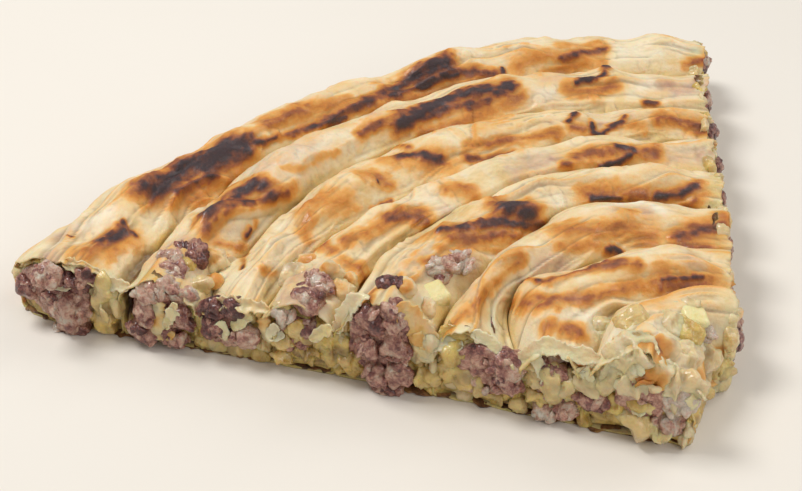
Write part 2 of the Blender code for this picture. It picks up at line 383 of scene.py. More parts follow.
@dataclass(frozen=True)
class CoilPlan:
    """The rings of the coil, worked out as the solids are, for whole arrays of places.

    Attributes:
        middle: the coil's middle on the table.
        front: angle of the front cut round the middle.
        right: angle of the right cut.
        gap: clearance between neighbouring rolls.
        bevel: bevel along each roll's base.
        fullness: power of the tops' arch, which is fuller below 1.
        long_swell: height and length of the tops' long swell.
        short_swell: height and length of the tops' short swell.
        waver: size and length of the creases' waver.
        corner: reach of the front cut's rounded outer corner, and how far it goes back there.
        drift: how far the front cut bends out at the middle, and the radius at which that ends.
        cut_fade: share of a roll's length over which both fade.
        skin_bottom: thickness of the dough under the filling.
    """

    middle: tuple[float, float] = (0.10364, -0.11381)
    front: float = math.radians(164.0)
    right: float = math.radians(84.3)
    gap: float = 0.0003
    bevel: float = 0.0010
    fullness: float = 0.72
    long_swell: tuple[float, float] = (0.0011, 0.047)
    short_swell: tuple[float, float] = (0.0006, 0.021)
    waver: tuple[float, float] = (0.0006, 0.037)
    corner: tuple[float, float] = (0.016, 0.0060)
    drift: tuple[float, float] = (0.0030, 0.150)
    cut_fade: float = 0.25
    skin_bottom: float = 0.0022

    @property
    def turn(self) -> float:
        """Angle from one cut to the other."""
        return self.front - self.right

    def outward(self, cut: Cut) -> np.ndarray:
        """Level unit direction out of a cut."""
        angle, sign = (self.front, 1.0) if cut is Cut.FRONT else (self.right, -1.0)
        return sign * np.array([-math.sin(angle), math.cos(angle), 0.0])

    def length(self, roll: int) -> float:
        """Length of a roll along its middle line."""
        return (CREASE_RADII[roll - 1][2] + CREASE_RADII[roll][2]) / 2 * self.turn

    def crease(self, crease: int, place: np.ndarray) -> np.ndarray:
        """Radius of a crease: its row of radii plus a small sine waver along it.

        Args:
            crease: its number, from 0 outside.
            place: from 0 at the front cut to 1 at the right cut.

        Returns:
            The radius at each place.
        """
        size, length = self.waver
        angle = 2 * math.pi * CREASE_RADII[crease][2] * self.turn * place / length
        return smooth_row(CREASE_RADII[crease], place) + size * np.sin(angle + 2.3 * crease)

    def sides(self, roll: int, place: np.ndarray) -> tuple[np.ndarray, np.ndarray]:
        """Outer and inner radius of a roll's walls."""
        return self.crease(roll - 1, place) - self.gap / 2, self.crease(roll, place) + self.gap / 2

    def top(self, roll: int, place: np.ndarray, across: np.ndarray) -> np.ndarray:
        """Height of a roll's top.

        The line from crease to crease, plus the rise to the crest times a sine over the leaned share across,
        raised to the fullness, plus two low sine swells along the roll.

        Args:
            roll: the roll's number.
            place: from 0 at the front cut to 1 at the right cut.
            across: from 0 at the inner crease to 1 at the outer.

        Returns:
            The height above the table.
        """
        outer = smooth_row(CREASE_HEIGHTS[roll - 1], place)
        inner = smooth_row(CREASE_HEIGHTS[roll], place)
        rise = smooth_row(CREST_HEIGHTS[roll - 1], place) - (outer + inner) / 2
        lean = math.log(0.5) / np.log(smooth_row(CREST_PLACES[roll - 1], place))
        arch = np.clip(np.sin(math.pi * across**lean), 0.0, 1.0) ** self.fullness
        distance = place * self.length(roll)
        swell = self.long_swell[0] * np.sin(2 * math.pi * distance / self.long_swell[1] + 1.7 * roll)
        short_turn = 2 * math.pi * (distance / self.short_swell[1] + across) + 2.9 * roll
        swell = (swell + self.short_swell[0] * np.sin(short_turn)) * np.sin(math.pi * across)
        return inner + (outer - inner) * across + rise * arch + swell

    def crown(self, radius: np.ndarray, place: np.ndarray) -> np.ndarray:
        """Height of whichever roll's top lies at each radius.

        Args:
            radius: distance from the coil's middle.
            place: from 0 at the front cut to 1 at the right cut.

        Returns:
            The height, which past the outer roll is that of its crease.
        """
        height = np.full(np.shape(radius), CREASE_HEIGHTS[0][0])
        for roll in ROLLS:
            outer, inner = self.sides(roll, place)
            across = np.clip((radius - inner) / (outer - inner), 0.02, 0.98)
            height = np.where(radius <= outer, self.top(roll, place, across), height)
        return height

    def space(
        self, radius: np.ndarray, height: np.ndarray, place: np.ndarray, beyond: np.ndarray | float
    ) -> np.ndarray:
        """Points in the frame for places along the coil.

        The angle round the middle falls from the front cut to the right cut.  Near the front cut the point is
        also moved along the roll by the cut's drift and its rounded outer corner, which fade inwards.

        Args:
            radius: distance from the coil's middle.
            height: height above the table.
            place: from 0 at the front cut to 1 at the right cut.
            beyond: how far the point is moved out past the nearer cut.

        Returns:
            The points, three numbers in the last axis.
        """
        radius, height, place, beyond = np.broadcast_arrays(radius, height, place, beyond)
        angle = self.front - self.turn * place
        near_front = place < 0.5
        fade = np.maximum(0.0, 1 - place / self.cut_fade)
        drift = self.drift[0] * np.maximum(0.0, 1 - radius / self.drift[1])
        reach, rounding = self.corner
        edge = np.maximum(0.0, (radius - (CREASE_RADII[0][0] - reach)) / reach)
        forward = beyond + np.where(near_front, fade * (drift - rounding * edge**2), 0.0)
        forward = forward * np.where(near_front, 1.0, -1.0)
        east = self.middle[0] + np.cos(angle) * radius - np.sin(angle) * forward
        north = self.middle[1] + np.sin(angle) * radius + np.cos(angle) * forward
        return np.stack([east, north, height], axis=-1)

    def locate(self, points: np.ndarray) -> tuple[np.ndarray, np.ndarray]:
        """Radius and place of points, leaving out the cut's small drift."""
        east, north = points[..., 0] - self.middle[0], points[..., 1] - self.middle[1]
        return np.hypot(east, north), (self.front - np.arctan2(north, east)) / self.turn


@dataclass(frozen=True)
class PhotoCamera:
    """The photograph's view, from its focal length in pixels and its height over the table.

    Attributes:
        focal: focal length in pixels of the 802 by 491 frame.
        frame_width: the frame's width in pixels.
        centre: the pixel that the camera points at.
        elevation: angle down to the table.
        distance: from the camera to its target.
        target: the point on the table at the frame's middle.
        sensor: width of the sensor in millimetres.
    """

    focal: float = 1500.0
    frame_width: float = 802.0
    centre: tuple[float, float] = (401.0, 245.5)
    elevation: float = math.radians(35.5)
    distance: float = 0.54545
    target: tuple[float, float, float] = (0.00264, -0.00681, 0.0)
    sensor: float = 36.0

    @property
    def position(self) -> np.ndarray:
        """Where the camera stands: back from the target and up, along its own elevation."""
        back = np.array([0.0, -math.cos(self.elevation), math.sin(self.elevation)])
        return np.array(self.target) + back * self.distance

    def rays(self, pixels: Pixels) -> np.ndarray:
        """Directions through pixels: forward by the focal length, right and up by the pixel offsets.

        Args:
            pixels: the pixels.

        Returns:
            A direction for each, as long as the focal length or more.
        """
        offset = np.array(pixels, float) - self.centre
        forward = np.array([0.0, math.cos(self.elevation), -math.sin(self.elevation)])
        upward = np.array([0.0, math.sin(self.elevation), math.cos(self.elevation)])
        right = np.array([1.0, 0.0, 0.0])
        return forward * self.focal + offset[:, :1] * right - offset[:, 1:] * upward

    def on_roll(self, plan: CoilPlan, roll: int, pixels: Pixels) -> np.ndarray:
        """Points of a roll's top that show at the pixels.

        The ray meets a level plane, whose height moves a share of the way to the roll's own height there, and
        after enough steps the two agree.

        Args:
            plan: the coil.
            roll: the roll's number.
            pixels: the pixels.

        Returns:
            A point for each pixel.
        """
        usual_height, steps, share = 0.026, 24, 0.35
        rays, height = self.rays(pixels), np.full(len(pixels), usual_height)
        for _ in range(steps):
            points = self.position + rays * ((height - self.position[2]) / rays[:, 2])[:, None]
            radius, place = plan.locate(points)
            outer, inner = plan.sides(roll, np.clip(place, 0.0, 1.0))
            across = np.clip((radius - inner) / (outer - inner), 0.03, 0.97)
            height += share * (plan.top(roll, np.clip(place, 0.0, 1.0), across) - height)
        return points

    def on_front_cut(self, plan: CoilPlan, pixels: Pixels, proud: float = 0.0) -> np.ndarray:
        """Points where the rays meet the front cut's upright plane.

        Args:
            plan: the coil.
            pixels: the pixels.
            proud: how far out the plane is moved.

        Returns:
            A point for each pixel.
        """
        rays = self.rays(pixels)
        outward = plan.outward(Cut.FRONT)
        middle = np.array([*plan.middle, 0.0]) + outward * proud
        share = ((middle - self.position) @ outward) / (rays @ outward)
        return self.position + rays * share[:, None]

    def make(self) -> None:
        """Adds the camera and makes it the scene's."""
        data = bpy.data.cameras.new("photo_view")
        data.sensor_width = self.sensor
        data.lens = self.focal / self.frame_width * self.sensor
        camera = bpy.data.objects.new("photo_view", data)
        camera.location = self.position.tolist()
        camera.rotation_euler = (math.pi / 2 - self.elevation, 0.0, 0.0)
        bpy.context.scene.collection.objects.link(camera)
        bpy.context.scene.camera = camera


def path_distance(points: np.ndarray, path: np.ndarray) -> np.ndarray:
    """Distance from each point to the nearest place on a path of straight runs.

    Args:
        points: places, three numbers in the last axis.
        path: the path's points, in order.

    Returns:
        One distance for each place.
    """
    nearest = np.linalg.norm(points - path[0], axis=-1)
    for start, end in zip(path[:-1], path[1:]):
        run = end - start
        share = np.clip((points - start) @ run / (run @ run), 0.0, 1.0)
        nearest = np.minimum(nearest, np.linalg.norm(points - start - share[..., None] * run, axis=-1))
    return nearest


# How much noise roughens a stroke's edge, as a share of its reach and in metres, how far its fall has come at
# the path itself, and the power of the fall.
EDGE_ROUGH = (0.32, 0.0004)
FALL_START = 0.12
FALL_POWER = 1.7


@dataclass(frozen=True)
class Stroke:
    """A patch or streak placed on one roll.

    Attributes:
        note: what it is on the real food.
        tone: what it changes.
        roll: the roll that it lies on.
        reach: half its width in metres.
        strength: its value at the middle.
        path: the photograph's pixels that it runs through.
        on_cut: whether it lies on the front cut instead of the top.
    """

    note: str
    tone: Tone
    roll: int
    reach: float
    strength: float
    path: Pixels
    on_cut: bool = False

    def value(self, view: PhotoCamera, plan: CoilPlan, points: np.ndarray, wander: np.ndarray) -> np.ndarray:
        """The stroke's strength at each point: a bell curve of its distance from the path over the reach.

        Args:
            view: the camera that its pixels belong to.
            plan: the coil.
            points: places on the roll.
            wander: noise that roughens the stroke's edge.

        Returns:
            One value for each place.
        """
        path = view.on_front_cut(plan, self.path) if self.on_cut else view.on_roll(plan, self.roll, self.path)
        away = path_distance(points, path) / self.reach
        away = away + wander * (EDGE_ROUGH[0] + EDGE_ROUGH[1] / self.reach)
        return self.strength * np.exp(-(np.maximum(away + FALL_START, 0.0) ** FALL_POWER))


def sunk(view: PhotoCamera, plan: CoilPlan, roll: int, points: np.ndarray) -> np.ndarray:
    """How deep places on the front cut lie in the hollows of a roll and of the next one.

    Args:
        view: the camera that the strokes belong to.
        plan: the coil.
        roll: the roll's number.
        points: places on the cut.

    Returns:
        From 0 to 1 for each place.
    """
    still = np.zeros(points.shape[:-1])
    value = still
    for stroke in STROKES:
        if stroke.on_cut and stroke.tone is Tone.SINK and 0 <= stroke.roll - roll <= 1:
            value = np.maximum(value, stroke.value(view, plan, points, still))
    return value


@dataclass(frozen=True)
class Meat:
    """The run of mince in a roll, a lumpy rounded box in cross-section as in the solids.

    Attributes:
        plan: the coil.
        roll: the roll's number.
        middle: height share of its middle.
        corners: squareness of its outline.
        lump: share by which its outline swells and shrinks, and the length of that swell.
        slim: share by which it is thinner away from the cuts, where the skin's own folds need the room, and
            the distances from a cut between which it thins.
        view: the camera whose strokes sink hollows into the front cap and paint shade in them, if any.
        hollow_depth: how deep those hollows are.
        columns: points round the run.
        cap_rings: rings in each cap.
        tube_rings: rings between the caps.
        fine_grain: distance between its small grains.
    """

    plan: CoilPlan
    roll: int
    middle: float = 0.46
    corners: float = 2.6
    lump: tuple[float, float] = (0.10, 0.026)
    slim: tuple[float, float, float] = (0.12, 0.002, 0.010)
    view: PhotoCamera | None = None
    hollow_depth: float = 0.0070
    columns: int = 84
    cap_rings: int = 19
    tube_rings: int = 40
    fine_grain: float = 0.0015

    def crest(self, place: np.ndarray) -> np.ndarray:
        """Greatest height of the roll's outline at each place."""
        across = np.linspace(0.05, 0.95, 19)
        return self.plan.top(self.roll, place, across).max(axis=-1, keepdims=True)

    def centre(self, place: np.ndarray) -> tuple[np.ndarray, np.ndarray]:
        """Radius and height of the run's middle.

        Args:
            place: from 0 at the front cut to 1 at the right cut, as a column.

        Returns:
            Radius and height at each place.
        """
        outer, inner = self.plan.sides(self.roll, place)
        rise = self.crest(place) - self.plan.skin_bottom
        radius = inner + (outer - inner) * FILLINGS[self.roll - 1][0]
        return radius, self.plan.skin_bottom + rise * self.middle

    def outline(self, place: np.ndarray, angle: np.ndarray) -> tuple[np.ndarray, np.ndarray]:
        """Radius and height of the run's outline.

        It is a superellipse whose reach swells by a product of two sines.

        Args:
            place: from 0 at the front cut to 1 at the right cut, as a column.
            angle: direction from the run's middle.

        Returns:
            Radius and height of the outline.
        """
        _, width, height = FILLINGS[self.roll - 1]
        outer, inner = self.plan.sides(self.roll, place)
        half_width = (outer - inner) * width / 2
        half_height = (self.crest(place) - self.plan.skin_bottom) * height / 2
        flat = np.abs(np.cos(angle) / half_width) ** self.corners
        upright = np.abs(np.sin(angle) / half_height) ** self.corners
        reach = (flat + upright) ** (-1 / self.corners)
        size, length = self.lump
        distance = place * self.plan.length(self.roll)
        swell = np.sin(2 * math.pi * distance / length + 1.3 * self.roll + 2 * angle)
        reach = reach * (1 + size * swell * np.sin(3 * angle + self.roll + 5 * place))
        from_cut = np.minimum(place, 1 - place) * self.plan.length(self.roll)
        amount, near, far = self.slim
        reach = reach * (1 - amount * ease((from_cut - near) / (far - near)))
        radius, level = self.centre(place)
        return radius + reach * np.cos(angle), level + reach * np.sin(angle)

    def build(self) -> Shape:
        """The closed run: a tube whose two ends are heaped caps of packed grains.

        A cap is rings that shrink to the middle, raised by a low heap, by packed grains of two sizes and by
        rolling noise.  The heap is one less the ring share squared.

        Returns:
            The run with its mince values.
        """
        angle = np.linspace(0, 2 * math.pi, self.columns, endpoint=False)[None, :]
        shares = np.linspace(0.0, 1.0, self.cap_rings + 1)[1:, None]
        hollow = np.zeros((self.cap_rings, self.columns))
        rows = []
        for cut, place in ((Cut.FRONT, 0.0), (Cut.RIGHT, 1.0)):
            at = np.array([[place]])
            radius, level = self.outline(at, angle)
            middle, height = self.centre(at)
            ring_radius = middle + (radius - middle) * shares
            ring_level = height + (level - height) * shares
            flat = self.plan.space(ring_radius, ring_level, at, 0.0)
            proud = self.relief(flat, shares)
            if cut is Cut.FRONT and self.view is not None:
                hollow = sunk(self.view, self.plan, self.roll, flat) * (1 - shares**4)
                proud = proud - self.hollow_depth * hollow
            cap = self.plan.space(ring_radius, ring_level, at, proud)
            rows.append(cap if cut is Cut.FRONT else cap[::-1])
        between = np.linspace(0.02, 0.98, self.tube_rings)[:, None]
        tube = self.plan.space(*self.outline(between, angle), between, 0.0)
        points = np.concatenate([rows[0], tube, rows[1]])
        paint = mince_paint(points.reshape(-1, 3), 40 + self.roll)
        # Painted shade: the front cap is darker in the hollows that the strokes sink.
        dark = np.zeros(points.shape[:2])
        dark[: self.cap_rings] = hollow
        paint["deep"] = np.maximum(paint["deep"], dark.ravel())
        return closed_rows(points, paint)

    def relief(self, points: np.ndarray, shares: np.ndarray) -> np.ndarray:
        """How far a cap stands proud: heap, grains of two sizes and rolling noise.

        Args:
            points: the flat cap's points.
            shares: share of the way from the middle to the outline of each ring.

        Returns:
            The height over the cut at each point.
        """
        grain, _ = nodules(points, MINCE_GRAIN, 70 + self.roll)
        fine, _ = nodules(points, self.fine_grain, 80 + self.roll)
        heap = 0.0010 * (1 - shares**2) + 0.0011 * rough_noise(points, 0.006, 90 + self.roll)
        return heap + 0.0016 * np.maximum(grain, -0.6) + 0.00045 * np.maximum(fine, -0.5)


def closed_rows(points: np.ndarray, paint: dict[str, np.ndarray]) -> Shape:
    """Closes a tube of rings with a pole at each end.

    Args:
        points: rings of points, one ring in each row.
        paint: values for the points in the same order, which each pole takes from the first of its ring.

    Returns:
        The closed shape, facing out.
    """
    rows, columns = points.shape[:2]
    flat = points.reshape(-1, 3)
    poles = np.stack([points[0].mean(axis=0), points[-1].mean(axis=0)])
    index = np.arange(columns)
    after = (index + 1) % columns
    last = (rows - 1) * columns
    first_fan = np.stack([np.full(columns, rows * columns), after, index], axis=1)
    last_fan = np.stack([np.full(columns, rows * columns + 1), last + index, last + after], axis=1)
    ends = [0, last]
    values = {name: np.concatenate([value, value[ends]]) for name, value in paint.items()}
    quads, fans = grid_quads(rows, columns, round_columns=True), np.concatenate([first_fan, last_fan])
    return Shape(np.concatenate([flat, poles]), quads, fans, values).outwards()


def mince_paint(points: np.ndarray, seed: int, shade: float = 0.45) -> dict[str, np.ndarray]:
    """Finish values of mince.

    Each grain has its own shade and noise varies it, and painted shade darkens the places where no grain's
    middle is near.

    Args:
        points: places on it.
        seed: chooses the draw.
        shade: its usual shade, from 0 for dark to 1 for pale.

    Returns:
        Its shade, and the painted shade between its grains, from 0 to 1.
    """
    grain, owner = nodules(points, MINCE_GRAIN, seed + 30)
    tone = shade + 0.42 * (owner - 0.5) + 0.30 * rough_noise(points, 0.008, seed)
    # deep is painted shade, darker where no grain's middle is near.
    return {"shade": np.clip(tone, 0.0, 1.0), "deep": np.clip(0.30 - 1.1 * grain, 0.0, 1.0)}


@dataclass(frozen=True)
class Heights:
    """Heights in metres of the forms that make up the skin's relief."""

    fold: float = 0.0010
    swell: float = 0.0012
    wrinkle: float = 0.00026
    sheet: float = 0.0011
    grain: float = 0.0010
    toast: float = 0.0010
    sink: float = 0.0030
    blister: float = 0.0005
    pore: float = 0.00015


@dataclass(frozen=True)
class RollSkin:
    """The dough of one roll: its fine skin, both torn ends, the layers at its cuts and its tunnel.

    Attributes:
        plan: the coil.
        view: the camera that the strokes belong to.
        roll: its number.
        strokes: those that lie on it.
        spacing: distance between points along and over the roll.
        base_points: points across its base.
        wall_points: points up each wall.
        face_rings: rings of a cut's face.
        tunnel_rings: rings of its tunnel.
        lip: thickness of the skin where it is torn.
        pull: how far from a cut its torn edge still pulls the skin along.
        lowest: how far its relief may go in under the solid's top.
        ceiling: greatest height that it may reach.
        hollow_depth: how deep the strokes sink a cut's face.
        heights: heights of its relief's forms.
    """

    plan: CoilPlan
    view: PhotoCamera
    roll: int
    strokes: tuple[Stroke, ...]
    spacing: float = 0.00054
    base_points: int = 8
    wall_points: int = 18
    face_rings: int = 13
    tunnel_rings: int = 24
    lip: float = 0.0006
    pull: float = 0.0070
    lowest: float = -0.0016
    ceiling: float = 0.0358
    hollow_depth: float = 0.0055
    heights: Heights = Heights()

    def outline(self, place: np.ndarray) -> tuple[np.ndarray, np.ndarray, np.ndarray]:
        """Radius, height and share across of the roll's outline at each place.

        It runs along the base from the outer side, up the inner wall, over the top and down the outer wall.

        Args:
            place: a column of places.

        Returns:
            Radius and height for each place and point, and the share across for each point.
        """
        outer, inner = self.plan.sides(self.roll, place)
        share = np.linspace(0.0, 1.0, self.base_points)
        bevel = self.plan.bevel
        base = (outer - bevel) + (inner - outer + 2 * bevel) * share
        climb = np.linspace(0.0, 1.0, self.wall_points)
        count = int(1.35 * float(np.mean(outer - inner)) / self.spacing)
        even = np.linspace(0.0, 1.0, count + 2)[1:-1]
        across = 0.5 * even + 0.25 * (1 - np.cos(math.pi * even))
        inner_top = smooth_row(CREASE_HEIGHTS[self.roll], place)
        outer_top = smooth_row(CREASE_HEIGHTS[self.roll - 1], place)
        radius = [base, inner + 0 * climb, inner + (outer - inner) * across, outer + 0 * climb]
        height = [0 * base, bevel + (inner_top - bevel) * climb]
        height += [self.plan.top(self.roll, place, across), bevel + (outer_top - bevel) * climb[::-1]]
        shares = [1 - share, 0 * climb, across, 1 + 0 * climb]
        return np.concatenate(radius, axis=1), np.concatenate(height, axis=1), np.concatenate(shares)

    def painted(self, points: np.ndarray, along: np.ndarray) -> dict[Tone, np.ndarray]:
        """Strokes of each tone at each point, the strongest counting.

        Args:
            points: places on the roll.
            along: noise places in metres along, across and up, for edges that run with the roll.

        Returns:
            One array for each tone.
        """
        wander = smooth_noise(along, (0.0070, 0.0026, 0.004), 300 + self.roll)
        wander = 0.7 * wander + 0.5 * smooth_noise(along, (0.0022, 0.0011, 0.002), 320 + self.roll)
        paint = {tone: np.zeros(points.shape[:-1]) for tone in Tone}
        for stroke in self.strokes:
            if not stroke.on_cut:
                value = stroke.value(self.view, self.plan, points, wander)
                paint[stroke.tone] = np.maximum(paint[stroke.tone], value)
        return paint

    def relief(
        self, along: np.ndarray, points: np.ndarray, paint: dict[Tone, np.ndarray]
    ) -> tuple[np.ndarray, np.ndarray]:
        """Height of the skin's own forms over the solid's smooth top.

        Long folds and fine wrinkles are ridged noises stretched along the roll.  Overlapping sheets are a
        repeating ramp across the roll that falls off sharply, with its edge wandering.  Filling shows
        through as rolling lumps, and packed grains show where it is bare.

        Args:
            along: noise places in metres along, across and up.
            points: places in the frame.
            paint: strokes at those places.

        Returns:
            Height to add along the normal, and how near each place is to the rim of a sheet, from 0 to 1.
        """
        seed = 10 * self.roll
        wander = 0.0050 * smooth_noise(along, (0.030, 0.014, 0.02), seed)
        folded = along + wander[..., None] * np.array([0.0, 1.0, 0.0])
        folds = ridges(folded, (0.046, 0.0080, 0.02), seed + 1)
        lumps = smooth_noise(along, (0.014, 0.0095, 0.02), seed + 2)
        wrinkles = ridges(folded, (0.013, 0.0024, 0.01), seed + 3)
        drift = 1.1 * smooth_noise(along, (0.050, 0.018, 0.02), seed + 4)
        ramp = np.mod(folded[..., 1] / 0.0092 + drift, 1.0)
        sheet = ramp**3 * ease((1.0 - ramp) / 0.12)
        present = ease(1.4 * smooth_noise(along, (0.022, 0.012, 0.02), seed + 5) + 0.6)
        sheet = sheet * present
        blister, size = nodules(folded, 0.0062, seed + 8)
        blister = ease((blister - 0.70) / 0.30) * (size > 0.60)
        crinkled = ease(1.8 * smooth_noise(along, (0.018, 0.010, 0.02), seed + 9) - 0.1)
        grain = np.maximum(nodules(points, 0.0044, seed + 6)[0], -0.4)
        grain = grain + 0.4 * np.maximum(nodules(points, 0.0021, seed + 7)[0], -0.4)
        bare = np.clip(paint[Tone.GRAIN] * (0.6 + 0.6 * rough_noise(points, 0.007, seed + 10)), 0.0, 1.0)
        pores = rough_noise(along, (0.0040, 0.0015, 0.003), seed + 7)
        high = self.heights
        height = high.fold * folds + high.swell * lumps + high.wrinkle * wrinkles * crinkled * (1 - bare)
        height = height + high.sheet * sheet
        height += high.grain * bare * grain
        height += high.toast * ease(paint[Tone.TOAST]) - high.sink * paint[Tone.SINK]
        height += high.blister * blister * (1 - bare) + high.pore * pores
        rim = ease((ramp - 0.80) / 0.14) * present
        return height, rim * (1 - bare)

    def torn_reach(self, along: np.ndarray, share_up: np.ndarray, cut: Cut) -> np.ndarray:
        """How far the torn skin stands out past a cut: wide bites and fine teeth, most at the top.

        Args:
            along: noise places in metres along, across and up.
            share_up: height over the crest's height.
            cut: which cut.

        Returns:
            The distance at each place.
        """
        seed = 500 + 10 * self.roll + cut.value
        bites = smooth_noise(along, (0.01, 0.0062, 0.0062), seed)
        teeth = ridges(along, (0.01, 0.0019, 0.0019), seed + 1)
        size = 0.25 + 0.75 * ease((share_up - 0.35) / 0.45)
        return size * (0.0016 + 0.0022 * bites + 0.0006 * teeth)

    def face(self, cut: Cut, edge: np.ndarray, reach: np.ndarray) -> tuple[np.ndarray, np.ndarray]:
        """The dough's broken face at a cut, from the torn skin to the tunnel.

        Rings run from the skin's edge to the tunnel's.  They start at the lip, drop behind it, and then stand
        out by thin layers, which are a ridged sine of the depth under the skin with a wandering phase, by
        rolling lumps, and by the strokes laid on the cut.

        Args:
            cut: which cut.
            edge: the skin's last ring, with its reach taken out.
            reach: how far that ring stands out.

        Returns:
            Rings of points and the painted shade of each, darker the deeper it lies under the face.
        """
        at = np.array([[float(cut.value)]])
        radius, _ = self.plan.locate(edge[None])
        meat = Meat(self.plan, self.roll)
        middle, level = meat.centre(at)
        bore_angle = np.arctan2(edge[None, :, 2] - level, radius - middle)
        bore = self.plan.space(*meat.outline(at, bore_angle), at, 0.0)
        width = np.linalg.norm(bore - edge[None], axis=-1)
        lip_share = np.minimum(self.lip / width, 0.3)
        shares = np.linspace(0.0, 1.0, self.face_rings)[:, None]
        inwards = np.concatenate([lip_share, lip_share + (1 - lip_share) * shares])
        points = edge[None] + (bore - edge[None]) * inwards[..., None]
        depth = inwards * width
        seed = 600 + 10 * self.roll + cut.value
        phase = depth / 0.0017 + 0.8 * smooth_noise(points, 0.0045, seed)
        layers = 1 - 2 * np.abs(np.sin(math.pi * phase))
        out = 0.0006 * layers + 0.0019 * rough_noise(points, 0.0052, seed + 1) - 0.0006
        out -= 0.0018 * ease((0.0022 - depth) / 0.0016)
        if cut is Cut.FRONT:
            wander = smooth_noise(points, 0.0022, seed + 2)
            for stroke in self.strokes:
                if stroke.on_cut:
                    out -= self.hollow_depth * stroke.value(self.view, self.plan, points, wander)
        out[0] = reach - 0.0001
        out[-1] = -0.0004
        # The second value is painted shade, darker where the face lies further back.
        return points + out[..., None] * self.plan.outward(cut), np.clip((-0.0004 - out) / 0.0022, 0.0, 1.0)

    def build(self) -> Shape:
        """The closed skin.

        It runs over the roll, in at the right cut, back along the tunnel and out at the front cut.

        Returns:
            The skin with dough's finish values.
        """
        length = self.plan.length(self.roll)
        place = np.linspace(0.0, 1.0, int(length / self.spacing) + 1)[:, None]
        radius, height, across = self.outline(place)
        flat = self.plan.space(radius, height, place, 0.0)
        outer_top = smooth_row(CREASE_HEIGHTS[self.roll - 1], place)
        inner_top = smooth_row(CREASE_HEIGHTS[self.roll], place)
        down = (across >= 1) * (outer_top - height) - (across <= 0) * (inner_top - height)
        along = np.stack(np.broadcast_arrays(place * length, radius + down, 0.1 * self.roll), axis=-1)
        paint = self.painted(flat, along)
        normals = grid_normals(flat)
        normals *= np.sign(normals[:, self.base_points + self.wall_points + 5, 2].mean())
        first, last = self.roll == ROLLS[0], self.roll == ROLLS[-1]
        on_top = ease((height - 0.0010) / 0.004)
        on_top = on_top * (1.0 if last else ease(across / 0.05))
        on_top = on_top * (1.0 if first else ease((1 - across) / 0.05))
        bare_side = ease((across - 0.78) / 0.22) if first else 0.0
        bare_side = bare_side + (ease((0.12 - across) / 0.12) if last else 0.0)
        raised, rim = self.relief(along, flat, paint)
        raised, rim = np.maximum(raised, self.lowest) * on_top, rim * on_top
        ends = []
        share_up = height / height.max(axis=1, keepdims=True)
        for cut, distance in ((Cut.FRONT, place * length), (Cut.RIGHT, (1 - place) * length)):
            reach = self.torn_reach(along, share_up, cut)
            ends.append(reach * np.clip(1 - distance / self.pull, 0.0, 1.0) ** 1.4)
        beyond = ends[0] + ends[1]
        moved = normals * raised[..., None]
        skin = self.plan.space(radius, height, place, beyond) + moved
        skin[..., 2] = np.clip(skin[..., 2], 0.0, self.ceiling)
        # Painted shade of each cut's face, darker in its recesses.
        faces, face_shades = [], []
        for cut, row in ((Cut.FRONT, 0), (Cut.RIGHT, -1)):
            edge = flat[row] + moved[row]
            face, deep = self.face(cut, edge, beyond[row])
            faces.append(face)
            face_shades.append(deep)
        bore_places = np.linspace(0.97, 0.03, self.tunnel_rings)[:, None]
        meat = Meat(self.plan, self.roll)
        middle, level = meat.centre(place[:1])
        tunnel_angle = np.arctan2(height[:1] - level, radius[:1] - middle)
        tunnel = self.plan.space(*meat.outline(bore_places, tunnel_angle), bore_places, 0.0)
        points = np.concatenate([skin, faces[1], tunnel, faces[0][::-1]])
        crisp = raised - local_mean(raised, 2)
        values = self.values(along, paint, across, share_up, raised, crisp, rim)
        baked = np.clip(0.42 + 0.5 * rough_noise(along, (0.016, 0.0055, 0.01), 470 + self.roll), 0.0, 1.0)
        values["toast"] = np.maximum(values["toast"], bare_side * baked * ease(height / 0.004))
        values["wet"] = values["wet"] * (1 - 0.8 * bare_side)
        inner_rows = len(points) - len(skin)
        columns = skin.shape[1]
        # Painted shade: the skin is darker in the valleys of its relief and in the sunk seams.
        valley_shade = np.clip(-2000 * crisp, 0.0, 0.45) * (1 - 0.7 * paint[Tone.GRAIN])
        valley_shade = np.maximum(valley_shade, 0.95 * paint[Tone.SINK])
        # Painted shade: the whole tunnel is dark, and both cut faces take their own painted shade.
        deep = np.concatenate([valley_shade, face_shades[1], np.ones((self.tunnel_rings, columns)), face_shades[0][::-1]])
        empty = np.zeros((inner_rows, columns))
        filled = {name: np.concatenate([value, empty]) for name, value in values.items()}
        filled["inside"] = (np.arange(len(points)) >= len(skin))[:, None] * np.ones(columns)
        filled["deep"] = deep
        flat_values = {name: value.ravel() for name, value in filled.items()}
        quads = grid_quads(len(points), columns, True, True)
        return Shape(points.reshape(-1, 3), quads, paint=flat_values).outwards()

